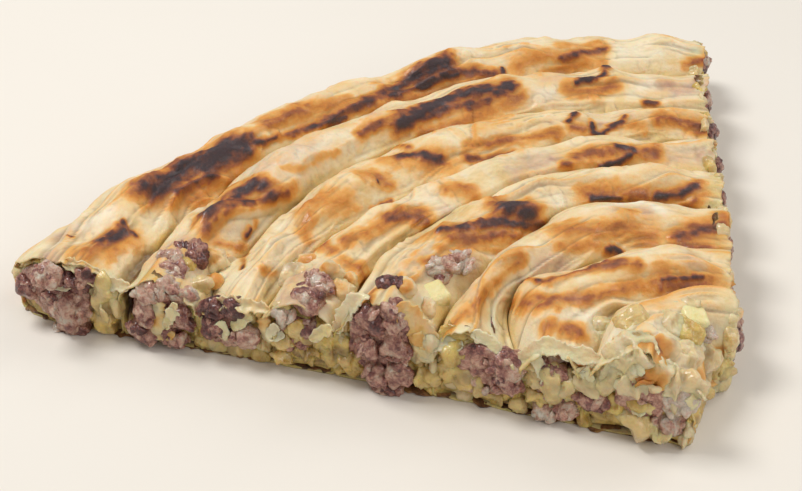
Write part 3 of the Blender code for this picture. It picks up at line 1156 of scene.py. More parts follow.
    def values(
        self,
        along: np.ndarray,
        paint: dict[Tone, np.ndarray],
        across: np.ndarray,
        share_up: np.ndarray,
        raised: np.ndarray,
        crisp: np.ndarray,
        rim: np.ndarray,
    ) -> dict[str, np.ndarray]:
        """Finish values of the skin.

        Crests take a light tan that follows the folds, the creases stay moist and yellow, which is also
        painted shade in the troughs between rolls, the rims of sheets are painted paler as a painted
        highlight, and the strokes add browning, pale dough, meat that shows through and bare wet dough.

        Args:
            along: noise places along, across and up.
            paint: strokes at those places.
            across: share across the roll of each column.
            share_up: height over the crest's height.
            raised: relief in metres.
            crisp: relief over its own surroundings.
            rim: nearness to the rim of a sheet.

        Returns:
            One array for each finish value.
        """
        seed = 400 + 10 * self.roll
        blotch = rough_noise(along, (0.020, 0.0080, 0.02), seed)
        streak = smooth_noise(along, (0.016, 0.0022, 0.01), seed + 1)
        crest = ease((share_up - 0.80) / 0.18)
        speckle = rough_noise(along, (0.0032, 0.0017, 0.003), seed + 2)
        tan = 0.08 * crest * ease(0.3 + 1.3 * blotch) + 90 * np.maximum(raised - 0.0008, 0.0) * crest
        tan += 500 * np.clip(crisp, 0.0, 0.00025) * crest + 0.05 * rim * ease(0.6 + blotch)
        tan = np.clip(tan + 0.04 * streak, 0.0, 0.27) * (1 - 0.7 * paint[Tone.PALE])
        browned = paint[Tone.TOAST] * (1.04 + 0.10 * streak + 0.22 * speckle)
        browned = browned + 420 * crisp * paint[Tone.TOAST]
        toast = np.clip(np.maximum(browned, tan), 0.0, 1.0)
        # The creases are painted moist and yellow, partly as moist dough and partly as painted shade in the
        # troughs.
        crease = ease((0.16 - np.minimum(across, 1 - across)) / 0.14)
        meat = np.maximum(paint[Tone.MEAT], 0.30 * ease(blotch * 1.6 - 0.35) * (1 - crease))
        wall = (share_up < 0.55) * 1.0
        wet = np.maximum(paint[Tone.WET], 0.55 * crease * ease(0.6 + streak) + 0.5 * wall)
        wet = np.maximum(wet, 0.5 * ease(-1.5 * blotch - 0.2) * (1 - crest))
        # Painted highlight: the rim of each sheet is painted paler.
        pale = np.maximum(paint[Tone.PALE], 0.45 * rim)
        return {"toast": toast, "pale": pale, "meat": meat, "wet": wet, "grain": paint[Tone.GRAIN]}


class Stuff(Enum):
    """What a loose lump or flake is made of."""

    MEAT = "meat"
    DOUGH = "dough"


@dataclass(frozen=True)
class Lump:
    """A soft or granular lump on the front cut or on a roll's top, placed by the pixel of its middle.

    Attributes:
        note: what it is on the real food.
        stuff: meat or dough.
        pixel: where its middle shows.
        size: width along the cut, height and depth in metres.
        shade: for meat from dark to pale, for dough from wet yellow to toasted.
        proud: how far its middle stands out past the cut, or over the roll's top.
        roll: the roll whose top it lies on, or 0 for the front cut.
    """

    note: str
    stuff: Stuff
    pixel: tuple[float, float]
    size: tuple[float, float, float]
    shade: float
    proud: float = 0.0
    roll: int = 0


@dataclass(frozen=True)
class Flake:
    """A thin torn scrap of dough on the front cut, a ribbon along a path of pixels.

    Attributes:
        note: what it is on the real food.
        path: the pixels of its middle line.
        width: its width in metres.
        lift: how far its middle stands off what it lies on.
        curl: how far its two edges bend away, outwards if above 0.
        toast: its browning.
        pale: its whiteness.
    """

    note: str
    path: Pixels
    width: float
    lift: float
    curl: float
    toast: float
    pale: float


def ball(centre: np.ndarray, axes: np.ndarray, size: Sequence[float], spacing: float) -> np.ndarray:
    """Rings of an ellipsoid from pole to pole, the poles lying along its first axis.

    Args:
        centre: its middle.
        axes: three unit directions in rows.
        size: full size along each.
        spacing: rough distance between points.

    Returns:
        Rings of points.
    """
    rows = max(7, int(math.pi * size[0] / 2 / spacing * 1.25))
    columns = max(9, int(math.pi * (size[1] + size[2]) / 2 / spacing))
    polar = np.linspace(0, math.pi, rows + 2)[1:-1][:, None]
    turn = np.linspace(0, 2 * math.pi, columns, endpoint=False)[None, :]
    unit = np.stack(
        [np.cos(polar) + 0 * turn, np.sin(polar) * np.cos(turn), np.sin(polar) * np.sin(turn)], axis=-1
    )
    return centre + (unit * np.asarray(size) / 2) @ axes


@dataclass(frozen=True)
class Cover:
    """How strands of mince or scraps of dough lie over a lump's body.

    Attributes:
        body: share of the lump's size that its body takes.
        shadow: how much painted shade darkens the body under its strands or scraps.
        crowding: how closely they lie, as their own area for an area of the lump.
        depth: share of the lump's depth that they lie out from its middle.
        scatter: how far each looks away from the lump's own facing.
    """

    body: float
    shadow: float
    crowding: float
    depth: float
    scatter: float


@dataclass(frozen=True)
class LumpMaker:
    """Turns lumps into closed shapes with grains and crevices.

    Attributes:
        spacing: distance between points.
        meat_grain: distance between mince grains, large and small.
        floor: lowest height that a lump may reach.
        ceiling: greatest height that a lump may reach.
        crumb: usual size of a strand of mince.
        scrap: usual length and width of a scrap of dough.
        covers: how the strands or scraps lie over each kind of lump.
    """

    spacing: float = 0.00060
    meat_grain: tuple[float, float] = (0.0030, 0.0014)
    floor: float = 0.0002
    ceiling: float = 0.0356
    crumb: tuple[float, float, float] = (0.0050, 0.0024, 0.0024)
    scrap: tuple[float, float] = (0.0072, 0.0050)
    covers: tuple[Cover, Cover] = (Cover(0.96, 0.12, 0.85, 0.36, 0.35), Cover(1.10, 0.08, 0.34, 0.42, 0.28))

    def cluster(self, lump: Lump, centre: np.ndarray, outward: np.ndarray, seed: int) -> list[Shape]:
        """A lump as a knife leaves it: its body under strands of mince or crumpled scraps of dough.

        Strands and scraps lie at even random places over the body's face, turned at random.

        Args:
            lump: its size and stuff.
            centre: its middle.
            outward: the direction that it faces.
            seed: chooses the draw.

        Returns:
            The body and what lies on it.
        """
        draw = np.random.RandomState(seed + 7)
        side = np.cross(outward, np.array([0.0, 0.0, 1.0]))
        side /= np.linalg.norm(side)
        upward = np.cross(side, outward)
        width, height, depth = lump.size
        meat = lump.stuff is Stuff.MEAT
        cover, each = (self.covers[0], self.crumb) if meat else (self.covers[1], self.scrap)
        body = replace(lump, size=(cover.body * width, cover.body * height, cover.body * depth))
        shapes = [self.shape(body, centre, outward, seed)]
        # Painted shade on the body under its strands or scraps.
        shapes[0].paint["deep"] = np.clip(shapes[0].paint["deep"] + cover.shadow, 0.0, 1.0)
        count = int(width * height / (each[0] * each[1] / cover.crowding))
        for number in range(0 if lump.roll and not meat else count):
            turn, share = draw.uniform(0, 2 * math.pi), math.sqrt(draw.uniform(0.0, 0.95))
            offset = 0.46 * share * (side * math.cos(turn) * width + upward * math.sin(turn) * height)
            place = centre + offset + outward * cover.depth * depth * math.sqrt(1 - 0.75 * share**2)
            facing = outward + draw.normal(0, cover.scatter, 3)
            facing /= np.linalg.norm(facing)
            if meat:
                size = tuple(length * draw.uniform(0.65, 1.35) for length in self.crumb)
                strand = Lump("strand", lump.stuff, (0, 0), size, lump.shade + draw.normal(0.0, 0.10))
                shapes.append(self.shape(strand, place, facing, seed + 17 * number + 1, 1.5))
            else:
                shapes.append(self.crumple(lump, place, facing, upward, draw, seed + 17 * number + 1))
        return shapes

    def crumple(
        self,
        lump: Lump,
        place: np.ndarray,
        facing: np.ndarray,
        upward: np.ndarray,
        draw: np.random.RandomState,
        seed: int,
    ) -> Shape:
        """A small bent scrap of dough at a place on a lump, more often upright than level.

        Args:
            lump: the lump, whose shade it takes with a small change.
            place: the scrap's middle.
            facing: the direction that its face looks.
            upward: the lump's own upward direction.
            draw: random numbers for its size, slant and bend.
            seed: chooses its noise.

        Returns:
            The scrap.
        """
        level = np.cross(facing, upward)
        slant = draw.normal(math.pi / 2, 0.75)
        run = level * math.cos(slant) + upward * math.sin(slant)
        length, width = (size * draw.uniform(0.6, 1.35) for size in self.scrap)
        shares = np.array([-0.5, -0.17, 0.17, 0.5])
        bend = draw.normal(0.0, 0.0009, 4)
        path = place + shares[:, None] * length * run + bend[:, None] * facing
        pale = np.clip(0.04 + draw.normal(0.0, 0.24), 0.0, 1.0)
        flake = Flake("scrap", (), width, 0.0, draw.uniform(-0.0009, 0.0006), lump.shade, pale)
        return FlakeMaker().shape(flake, path, facing, seed)

    def shape(
        self, lump: Lump, centre: np.ndarray, outward: np.ndarray, seed: int, twist: float = 0.35
    ) -> Shape:
        """A closed lump: an ellipsoid pushed in and out by rolling noise and, on meat, by packed grains.

        Args:
            lump: its size and stuff.
            centre: its middle.
            outward: the direction that it faces.
            seed: chooses its noise.
            twist: how far it may be turned on its face, in radians.

        Returns:
            The lump with the finish values of its stuff.
        """
        draw = np.random.RandomState(seed)
        side = np.cross(outward, np.array([0.0, 0.0, 1.0]))
        side /= np.linalg.norm(side)
        up = np.cross(side, outward)
        tilt = draw.uniform(-twist, twist)
        first = side * math.cos(tilt) + up * math.sin(tilt)
        axes = np.stack([first, up * math.cos(tilt) - side * math.sin(tilt), outward])
        points = ball(centre, axes, lump.size, self.spacing)
        direction = points - centre
        length = np.linalg.norm(direction, axis=-1, keepdims=True)
        direction = direction / length
        noise_place = points + seed * 0.013
        small = min(lump.size)
        rough = 0.24 if lump.roll else 0.38
        push = rough * small * rough_noise(noise_place, 0.50 * small + 0.001, seed)
        if lump.stuff is Stuff.MEAT:
            big, fine = self.meat_grain
            push += 0.12 * small * np.maximum(nodules(noise_place, big, seed + 1)[0], -0.6)
            push += 0.0004 * np.maximum(nodules(noise_place, fine, seed + 2)[0], -0.5)
            push += 0.0006 * ridges(noise_place, (0.0021, 0.0021, 0.0048), seed + 5)
        else:
            fold = 0.0005 if lump.roll else 0.0010
            push += fold * ridges(noise_place, (0.0038, 0.0038, 0.009), seed + 3)
            push += 0.0003 * smooth_noise(noise_place, 0.0014, seed + 4)
        points = points + direction * push[..., None]
        points[..., 2] = np.clip(points[..., 2], self.floor, self.ceiling)
        flat = points.reshape(-1, 3)
        if lump.stuff is Stuff.MEAT:
            paint = mince_paint(flat + seed * 0.013, seed, lump.shade)
        else:
            paint = dough_paint(flat + seed * 0.013, seed, lump.shade)
            paint["toast"] *= ease((direction @ outward - 0.25) / 0.6).ravel()
        return closed_rows(points, paint)


def dough_paint(points: np.ndarray, seed: int, shade: float) -> dict[str, np.ndarray]:
    """Finish values of loose dough, each a line through the shade with noise added.

    Args:
        points: places on it.
        seed: chooses the noise.
        shade: moist and yellow below 0, pale near 0 and toasted above 0.

    Returns:
        One array for each finish value.
    """
    blotch = rough_noise(points, 0.006, seed)
    empty = np.zeros(len(points))
    return {
        "toast": np.clip(shade * (1 + 0.7 * blotch) + 0.10 * blotch, 0.0, 1.0),
        "pale": np.clip(0.34 - 1.0 * abs(shade) + 0.45 * blotch, 0.0, 1.0),
        "meat": np.clip(0.25 * blotch, 0.0, 1.0),
        "wet": np.clip(0.50 - 1.5 * shade + 0.5 * blotch, 0.0, 1.0),
        "grain": empty,
        "inside": empty,
        # Painted shade: darker in noise patches, and more on the wettest, yellowest dough.
        "deep": np.clip(-0.8 * blotch - 0.1 - 0.7 * min(shade + 0.2, 0.0), 0.0, 0.8),
    }


def along_path(path: np.ndarray, share: np.ndarray) -> tuple[np.ndarray, np.ndarray]:
    """Points and directions at even shares of a smooth curve through a path's points.

    Args:
        path: the points to run through.
        share: shares of the way, from 0 to 1.

    Returns:
        Points and unit directions.
    """
    points = np.stack([smooth_row(path[:, axis], share) for axis in range(3)], axis=-1)
    step = np.gradient(points, axis=0)
    return points, step / np.maximum(np.linalg.norm(step, axis=-1, keepdims=True), 1e-9)


@dataclass(frozen=True)
class FlakeMaker:
    """Turns flakes into thin closed scraps with ragged edges.

    Attributes:
        spacing: distance between points.
        thickness: of the dough.
        floor: lowest height of a scrap's middle sheet.
        ceiling: its greatest height.
    """

    spacing: float = 0.0007
    thickness: float = 0.0008
    floor: float = 0.0008
    ceiling: float = 0.0352

    def shape(self, flake: Flake, path: np.ndarray, normal: np.ndarray, seed: int) -> Shape:
        """A thin closed scrap along a path.

        Its half width follows a rounded end, one less the fourth power of the distance from its middle, and
        is bitten by noise on both edges.  It stands off by its lift, its edges curl by the square of the
        share across, and its whole face ripples.

        Args:
            flake: its sizes and finish.
            path: its middle line in the frame.
            normal: the direction that its face looks.
            seed: chooses its noise.

        Returns:
            The scrap with dough's finish values.
        """
        length = float(np.linalg.norm(np.diff(path, axis=0), axis=1).sum())
        share = np.linspace(0.0, 1.0, max(8, int(length / self.spacing)))
        middle, along = along_path(path, share)
        face = normal - (along @ normal)[:, None] * along
        face /= np.linalg.norm(face, axis=1, keepdims=True)
        side = np.cross(along, face)
        across = np.linspace(-1.0, 1.0, max(6, int(flake.width / self.spacing)))[None, :, None]
        taper = np.sqrt(np.maximum(1 - (2 * share - 1) ** 4, 0.02))[:, None]
        edges = []
        for number in range(2):
            bites = 0.32 * smooth_noise(middle, 0.0034, seed + number)
            bites += 0.26 * ridges(middle, 0.0017, seed + number + 2)
            edges.append(taper * (1 + bites[:, None]))
        half = flake.width / 2 * np.where(across[..., 0] < 0, edges[0], edges[1])
        sheet = middle[:, None] + side[:, None] * (across * half[..., None])
        rise = flake.lift + flake.curl * across[..., 0] ** 2 + 0.0006 * smooth_noise(sheet, 0.004, seed + 5)
        rise = rise + 0.0002 * ridges(sheet, 0.0022, seed + 6)
        sheet = sheet + face[:, None] * rise[..., None]
        sheet[..., 2] = np.clip(sheet[..., 2], self.floor, self.ceiling)
        normals = grid_normals(sheet) * self.thickness / 2
        rows, columns = sheet.shape[:2]
        ring = np.concatenate([sheet + normals, (sheet - normals)[:, ::-1]], axis=1)
        paint = dough_paint(ring.reshape(-1, 3), seed, flake.toast)
        paint["pale"] = np.clip(0.5 * paint["pale"] + 0.42 * flake.pale, 0.0, 1.0)
        edge = np.concatenate([np.abs(across[0, :, 0])] * 2)
        paint["pale"] = np.clip(paint["pale"] + 0.2 * np.tile(edge**4, rows), 0.0, 1.0)
        return closed_rows(ring, paint)


@dataclass(frozen=True)
class PotatoCube:
    """A soft-cornered cube of potato, as its solid has it.

    Attributes:
        node: the solid that it stands for.
        roll: the roll that holds it.
        radius: distance of its middle from the coil's middle.
        inwards: angle in from the front cut, in degrees.
        height: height of its middle.
        turn: how it is turned about X, Y and Z.
        size: its side.
        power: power of the norm that squares its sides.
        rough: share by which noise pushes its surface.
    """

    node: str
    roll: int
    radius: float
    inwards: float
    height: float
    turn: tuple[float, float, float]
    size: float = 0.0085
    power: int = 5
    rough: float = 0.10

    def build(self, plan: CoilPlan) -> Shape:
        """The closed cube: directions from the middle divided by their high-power norm, roughened by noise.

        Args:
            plan: the coil.

        Returns:
            The cube with its shade.
        """
        place = np.array(math.radians(self.inwards) / plan.turn)
        centre = plan.space(np.array(self.radius), np.array(self.height), place, np.array(0.0))
        points = ball(np.zeros(3), np.eye(3), (2.0, 2.0, 2.0), 0.11)
        norm = (np.abs(points) ** self.power).sum(axis=-1, keepdims=True) ** (1 / self.power)
        points = points / norm * self.size / 2
        x, y, z = self.turn
        turn_x = np.array([[1, 0, 0], [0, math.cos(x), -math.sin(x)], [0, math.sin(x), math.cos(x)]])
        turn_y = np.array([[math.cos(y), 0, math.sin(y)], [0, 1, 0], [-math.sin(y), 0, math.cos(y)]])
        turn_z = np.array([[math.cos(z), -math.sin(z), 0], [math.sin(z), math.cos(z), 0], [0, 0, 1]])
        points = centre + points @ (turn_z @ turn_y @ turn_x).T
        push = 1 + self.rough * rough_noise(points, 0.0045, 900 + self.roll)[..., None]
        points = centre + (points - centre) * push
        tone = 0.5 + 0.5 * rough_noise(points, 0.005, 910 + self.roll)
        return closed_rows(points, {"shade": tone.ravel()})


@dataclass(frozen=True)
class BaseCrust:
    """The thin browned base, whose ragged edge shows under each cut.

    Attributes:
        plan: the coil.
        thickness: its height at the cut.
        inside: how far it reaches in under the rolls.
        spacing: distance between points along the cut.
        ends: how far it stops short of the inner and the outer crease.
        least: how far its edge may go in behind the cut, which is below 0.
        columns: points round it.
    """

    plan: CoilPlan
    thickness: float = 0.0009
    inside: float = 0.0030
    spacing: float = 0.0006
    ends: tuple[float, float] = (0.0005, 0.0025)
    least: float = -0.0006
    columns: int = 14

    def build(self, cut: Cut) -> Shape:
        """A closed strip along one cut, its outer edge bitten by two noises, its top by a third.

        Args:
            cut: which cut.

        Returns:
            The strip with its shade.
        """
        inner = CREASE_RADII[-1][-cut.value] + self.ends[0]
        outer = CREASE_RADII[0][-cut.value] - self.ends[1]
        radius = np.linspace(inner, outer, int((outer - inner) / self.spacing))
        at = np.stack([radius, 0 * radius, 0 * radius], axis=1)
        seed = 700 + cut.value
        reach = 0.0007 + 0.0012 * smooth_noise(at, 0.0060, seed) + 0.0007 * smooth_noise(at, 0.0017, seed + 1)
        reach = np.maximum(reach, self.least)
        height = self.thickness * (0.75 + 0.45 * smooth_noise(at, 0.0035, seed + 2))
        turn = np.linspace(0, 2 * math.pi, self.columns, endpoint=False)[None, :]
        middle = (reach - self.inside)[:, None] / 2
        half = (reach + self.inside)[:, None] / 2
        beyond = middle + half * np.cos(turn)
        level = height[:, None] / 2 * (1 + np.sin(turn))
        points = self.plan.space(radius[:, None], np.maximum(level, 0.0), np.array(float(cut.value)), beyond)
        tone = np.clip(0.5 + 0.6 * rough_noise(points, 0.004, seed + 3), 0.0, 1.0)
        return closed_rows(points, {"shade": tone.ravel()})


def tint(red: int, green: int, blue: int) -> Colour:
    """A colour turned from the screen's values into the linear light that shaders use.

    Args:
        red: from 0 to 255, as the others.
        green: the same.
        blue: the same.

    Returns:
        The colour, with an alpha of 1.
    """
    parts = (part / 255 for part in (red, green, blue))
    linear = (part / 12.92 if part <= 0.04045 else ((part + 0.055) / 1.055) ** 2.4 for part in parts)
    return (*linear, 1.0)


class Wire:
    """One output of a shader node, on which Python's arithmetic adds Math nodes."""

    def __init__(self, tree: bpy.types.NodeTree, socket: bpy.types.NodeSocket) -> None:
        """Keeps the tree and the socket."""
        self.tree = tree
        self.socket = socket

    def maths(self, operation: str, *values: "Wire | float", clamp: bool = False) -> "Wire":
        """A Math node on this socket and the values after it."""
        inputs = dict(enumerate((self, *values)))
        return add_node(self.tree, "ShaderNodeMath", {"operation": operation, "use_clamp": clamp}, inputs)

    def __add__(self, other: "Wire | float") -> "Wire":
        """Sum."""
        return self.maths("ADD", other)

    def __mul__(self, other: "Wire | float") -> "Wire":
        """Product."""
        return self.maths("MULTIPLY", other)

    def __sub__(self, other: "Wire | float") -> "Wire":
        """Difference."""
        return self.maths("SUBTRACT", other)

    def __rsub__(self, other: float) -> "Wire":
        """Difference from a number: this times minus one, plus the number."""
        return self.maths("MULTIPLY_ADD", -1.0, other)

    __radd__ = __add__
    __rmul__ = __mul__

    def held(self) -> "Wire":
        """The value held from 0 to 1."""
        return self.maths("ADD", 0.0, clamp=True)


def add_node(
    tree: bpy.types.NodeTree,
    kind: str,
    settings: dict[str, object],
    inputs: dict[int | str, object],
    output: int | str = 0,
) -> Wire:
    """Adds any node, with its settings first and then its sockets' values or links.

    Args:
        tree: the material's nodes.
        kind: the node's type.
        settings: its properties; stops holds a ramp's places and colours.
        inputs: for each socket, a value or a wire.
        output: the socket to return.

    Returns:
        The chosen output.
    """
    node = tree.nodes.new(kind)
    for name, value in settings.items():
        if name == "stops":
            ramp = node.color_ramp
            while len(ramp.elements) < len(value):
                ramp.elements.new(0.5)
            for element, (place, colour) in zip(ramp.elements, value):
                element.position = place
                element.color = colour
        else:
            setattr(node, name, value)
    for name, value in inputs.items():
        if isinstance(value, Wire):
            tree.links.new(value.socket, node.inputs[name])
        else:
            node.inputs[name].default_value = value
    return Wire(tree, node.outputs[output])


class Finish:
    """The nodes of one material, with short names for what its recipes use."""

    def __init__(self, name: str, **constants: object) -> None:
        """Makes the material and sets the shader's constant sockets.

        Args:
            name: the material's name.
            constants: socket names with underscores for spaces, and their values.
        """
        self.material = bpy.data.materials.new(name)
        self.material.use_nodes = True
        self.tree = self.material.node_tree
        self.shader = self.tree.nodes["Principled BSDF"]
        for socket, value in constants.items():
            self.shader.inputs[socket.replace("_", " ")].default_value = value
        self.place = add_node(self.tree, "ShaderNodeTexCoord", {}, {}, "Object")

    def painted(self, name: str) -> Wire:
        """A value painted on the mesh."""
        return add_node(self.tree, "ShaderNodeAttribute", {"attribute_name": name}, {}, "Fac")

    def noise(self, size: float, detail: float = 3.0, rough: float = 0.55) -> Wire:
        """Noise from 0 to 1 whose blotches are about that size in metres."""
        inputs = {"Vector": self.place, "Scale": 1 / size, "Detail": detail, "Roughness": rough}
        return add_node(self.tree, "ShaderNodeTexNoise", {}, inputs, "Fac")

    def specks(self, size: float, seed: float) -> Wire:
        """Distance in cells to the nearest of scattered points.

        Args:
            size: how far apart they are, in metres.
            seed: how far the pattern is moved.

        Returns:
            The distance.
        """
        terms = {0: self.place, 1: (seed,) * 3}
        moved = add_node(self.tree, "ShaderNodeVectorMath", {"operation": "ADD"}, terms)
        inputs = {"Vector": moved, "Scale": 1 / size}
        return add_node(self.tree, "ShaderNodeTexVoronoi", {}, inputs, "Distance")

    def ramp(self, value: Wire, *stops: tuple[float, Colour]) -> Wire:
        """A colour read from stops."""
        return add_node(self.tree, "ShaderNodeValToRGB", {"stops": stops}, {0: value}, "Color")

    def mix(self, first: "Wire | Colour", second: "Wire | Colour", share: Wire, way: str = "MIX") -> Wire:
        """Two colours mixed by a share from 0 to 1, or the first multiplied by the second by that share."""
        settings = {"data_type": "RGBA", "clamp_factor": True, "blend_type": way}
        return add_node(self.tree, "ShaderNodeMix", settings, {0: share, 6: first, 7: second}, 2)

    def feed(self, colour: Wire, roughness: Wire, bump: Wire, depth: float, coat: Wire | None = None) -> None:
        """Links the shader's varying inputs.

        Args:
            colour: its base colour.
            roughness: its roughness.
            bump: height of its fine relief, from 0 to 1.
            depth: what 1 stands for, in metres.
            coat: weight of its moist coat, if that varies.
        """
        inputs = {"Height": bump, "Distance": depth, "Strength": 1.0}
        normal = add_node(self.tree, "ShaderNodeBump", {}, inputs, "Normal")
        fed = {"Base Color": colour, "Roughness": roughness, "Normal": normal, "Coat Weight": coat}
        for name, wire in fed.items():
            if wire is not None:
                self.tree.links.new(wire.socket, self.shader.inputs[name])


@dataclass(frozen=True)
class DoughFinish:
    """Baked thin dough, from moist cream through tan and brown to burnt.

    Attributes:
        cream: the usual pale dough.
        straw: its yellower patches.
        white: dry white dough.
        wet: moist yellow dough.
        olive: its darkest.
        rose: meat that shows through.
        liver: its darker parts.
        hollow: the painted shade of gaps and hollows, which other colours are multiplied by.
        crust: browning and its colour, from barely toasted to burnt.
    """

    cream: Colour = tint(236, 218, 178)
    straw: Colour = tint(222, 185, 112)
    white: Colour = tint(240, 232, 208)
    wet: Colour = tint(230, 198, 106)
    olive: Colour = tint(184, 146, 66)
    rose: Colour = tint(196, 146, 132)
    liver: Colour = tint(148, 100, 92)
    hollow: Colour = tint(104, 66, 34)
    crust: tuple[tuple[float, Colour], ...] = (
        (0.00, tint(236, 202, 142)),
        (0.20, tint(230, 174, 96)),
        (0.40, tint(208, 138, 56)),
        (0.60, tint(160, 92, 46)),
        (0.82, tint(102, 58, 44)),
        (1.00, tint(64, 46, 48)),
    )

    def make(self) -> bpy.types.Material:
        """Builds the material.

        Dough is cream with straw and white blotches, moist dough lies over it by the painted wetness, then
        meat, then pale dough, and browning covers them all by a steep share of the painted toast.

        Returns:
            The material.
        """
        finish = Finish(
            "baked_dough", Subsurface_Weight=0.25, Subsurface_Scale=0.005, Coat_Roughness=0.16, IOR=1.45
        )
        blotch, mottle, fine = finish.noise(0.014), finish.noise(0.0045), finish.noise(0.0011, 4.0)
        toast, pale, meat = finish.painted("toast"), finish.painted("pale"), finish.painted("meat")
        wet, grain = finish.painted("wet"), finish.painted("grain")
        inside, deep = finish.painted("inside"), finish.painted("deep")
        dough = finish.mix(self.cream, self.straw, (blotch - 0.42) * 3.0)
        dough = finish.mix(dough, self.white, (mottle - 0.50) * 2.4)
        moist = finish.mix(self.wet, self.olive, (mottle - 0.38) * 2.6)
        moist = finish.mix(moist, self.cream, (blotch - 0.58) * 2.4)
        dough = finish.mix(dough, moist, (wet + inside * 0.85).held())
        flesh = finish.mix(self.rose, self.liver, (mottle - 0.40) * 3.0)
        dough = finish.mix(dough, flesh, (meat * (0.55 + mottle * 0.7)).held())
        dough = finish.mix(dough, self.white, (pale * (0.35 + mottle)).held())
        speck = (0.34 - finish.specks(0.0021, 0.3)) * 3.0
        speckled = toast * (0.90 + fine * 0.28) + toast * speck.held() * 0.12
        baked = (speckled + (mottle - 0.5) * toast * 0.5).held()
        colour = finish.mix(dough, finish.ramp(baked, *self.crust), (baked * 4.5).held())
        # Painted shade: the colour is multiplied darker by the painted deep value.
        colour = finish.mix(colour, self.hollow, deep, "MULTIPLY")
        roughness = 0.50 - wet * 0.18 - inside * 0.12 + (fine - 0.5) * 0.3 - grain * 0.1
        bump = fine * 0.5 + mottle * 0.3 + finish.noise(0.0005, 2.0) * 0.25 * (toast + 0.3)
        oil = ((blotch - 0.45) * 4.0).held() * 0.35 + wet * 0.7 + inside * 0.5
        moist_share = (wet + inside).held()
        bump = bump + finish.noise(0.0022, 2.0) * moist_share * 1.2
        finish.feed(colour, roughness, bump, 0.0006, oil.held())
        return finish.material


@dataclass(frozen=True)
class MeatFinish:
    """Moist cooked mince, dark red-brown to pale pink-grey, with painted shade between its grains."""

    shades: tuple[tuple[float, Colour], ...] = (
        (0.00, tint(86, 42, 38)),
        (0.28, tint(150, 90, 80)),
        (0.50, tint(202, 146, 126)),
        (0.74, tint(234, 190, 164)),
        (0.97, tint(238, 218, 198)),
    )
    crevice_shade: Colour = tint(92, 52, 40)

    def make(self) -> bpy.types.Material:
        """Builds the material: a shade for each grain with noise over it, and painted shade multiplied in
        between.

        Returns:
            The material.
        """
        gloss = {"Coat_Weight": 0.6, "Coat_Roughness": 0.16}
        finish = Finish("cooked_mince", Subsurface_Weight=0.14, Subsurface_Scale=0.003, **gloss)
        mottle, fine = finish.noise(0.0026), finish.noise(0.0008, 4.0)
        shade, deep = finish.painted("shade"), finish.painted("deep")
        tone = (shade + (mottle - 0.5) * 1.3 + (fine - 0.5) * 0.7).held()
        # Painted shade: the colour is multiplied darker by the painted deep value.
        colour = finish.mix(finish.ramp(tone, *self.shades), self.crevice_shade, deep, "MULTIPLY")
        roughness = 0.36 + (fine - 0.5) * 0.4
        finish.feed(colour, roughness, fine + mottle * 0.8 + finish.noise(0.0004, 2.0) * 0.4, 0.0011)
        return finish.material


@dataclass(frozen=True)
class PotatoFinish:
    """Cooked potato, moist and light yellow."""

    pale: Colour = tint(240, 230, 182)
    yellow: Colour = tint(226, 208, 134)

    def make(self) -> bpy.types.Material:
        """Builds the material: yellow and pale mixed by the painted shade with noise over it.

        Returns:
            The material.
        """
        finish = Finish("cooked_potato", Subsurface_Weight=0.2, Subsurface_Scale=0.004, Coat_Weight=0.3)
        mottle, fine = finish.noise(0.003), finish.noise(0.0008, 3.0)
        colour = finish.mix(self.yellow, self.pale, (finish.painted("shade") + (mottle - 0.5) * 1.4).held())
        finish.feed(colour, 0.38 + (fine - 0.5) * 0.3, fine, 0.0004)
        return finish.material


@dataclass(frozen=True)
class CrustFinish:
    """The dark browned base."""

    dark: Colour = tint(70, 44, 28)
    brown: Colour = tint(128, 84, 46)
    tan: Colour = tint(176, 134, 76)

    def make(self) -> bpy.types.Material:
        """Builds the material: dark, brown and tan by the painted shade with noise over it.

        Returns:
            The material.
        """
        finish = Finish("base_crust", Coat_Weight=0.15)
        mottle, fine = finish.noise(0.003), finish.noise(0.0009, 4.0)
        tone = (finish.painted("shade") + (mottle - 0.5) * 0.9 + (fine - 0.5) * 0.5).held()
        colour = finish.ramp(tone, (0.15, self.dark), (0.55, self.brown), (0.95, self.tan))
        finish.feed(colour, 0.55 + (fine - 0.5) * 0.3, fine + mottle, 0.0007)
        return finish.material


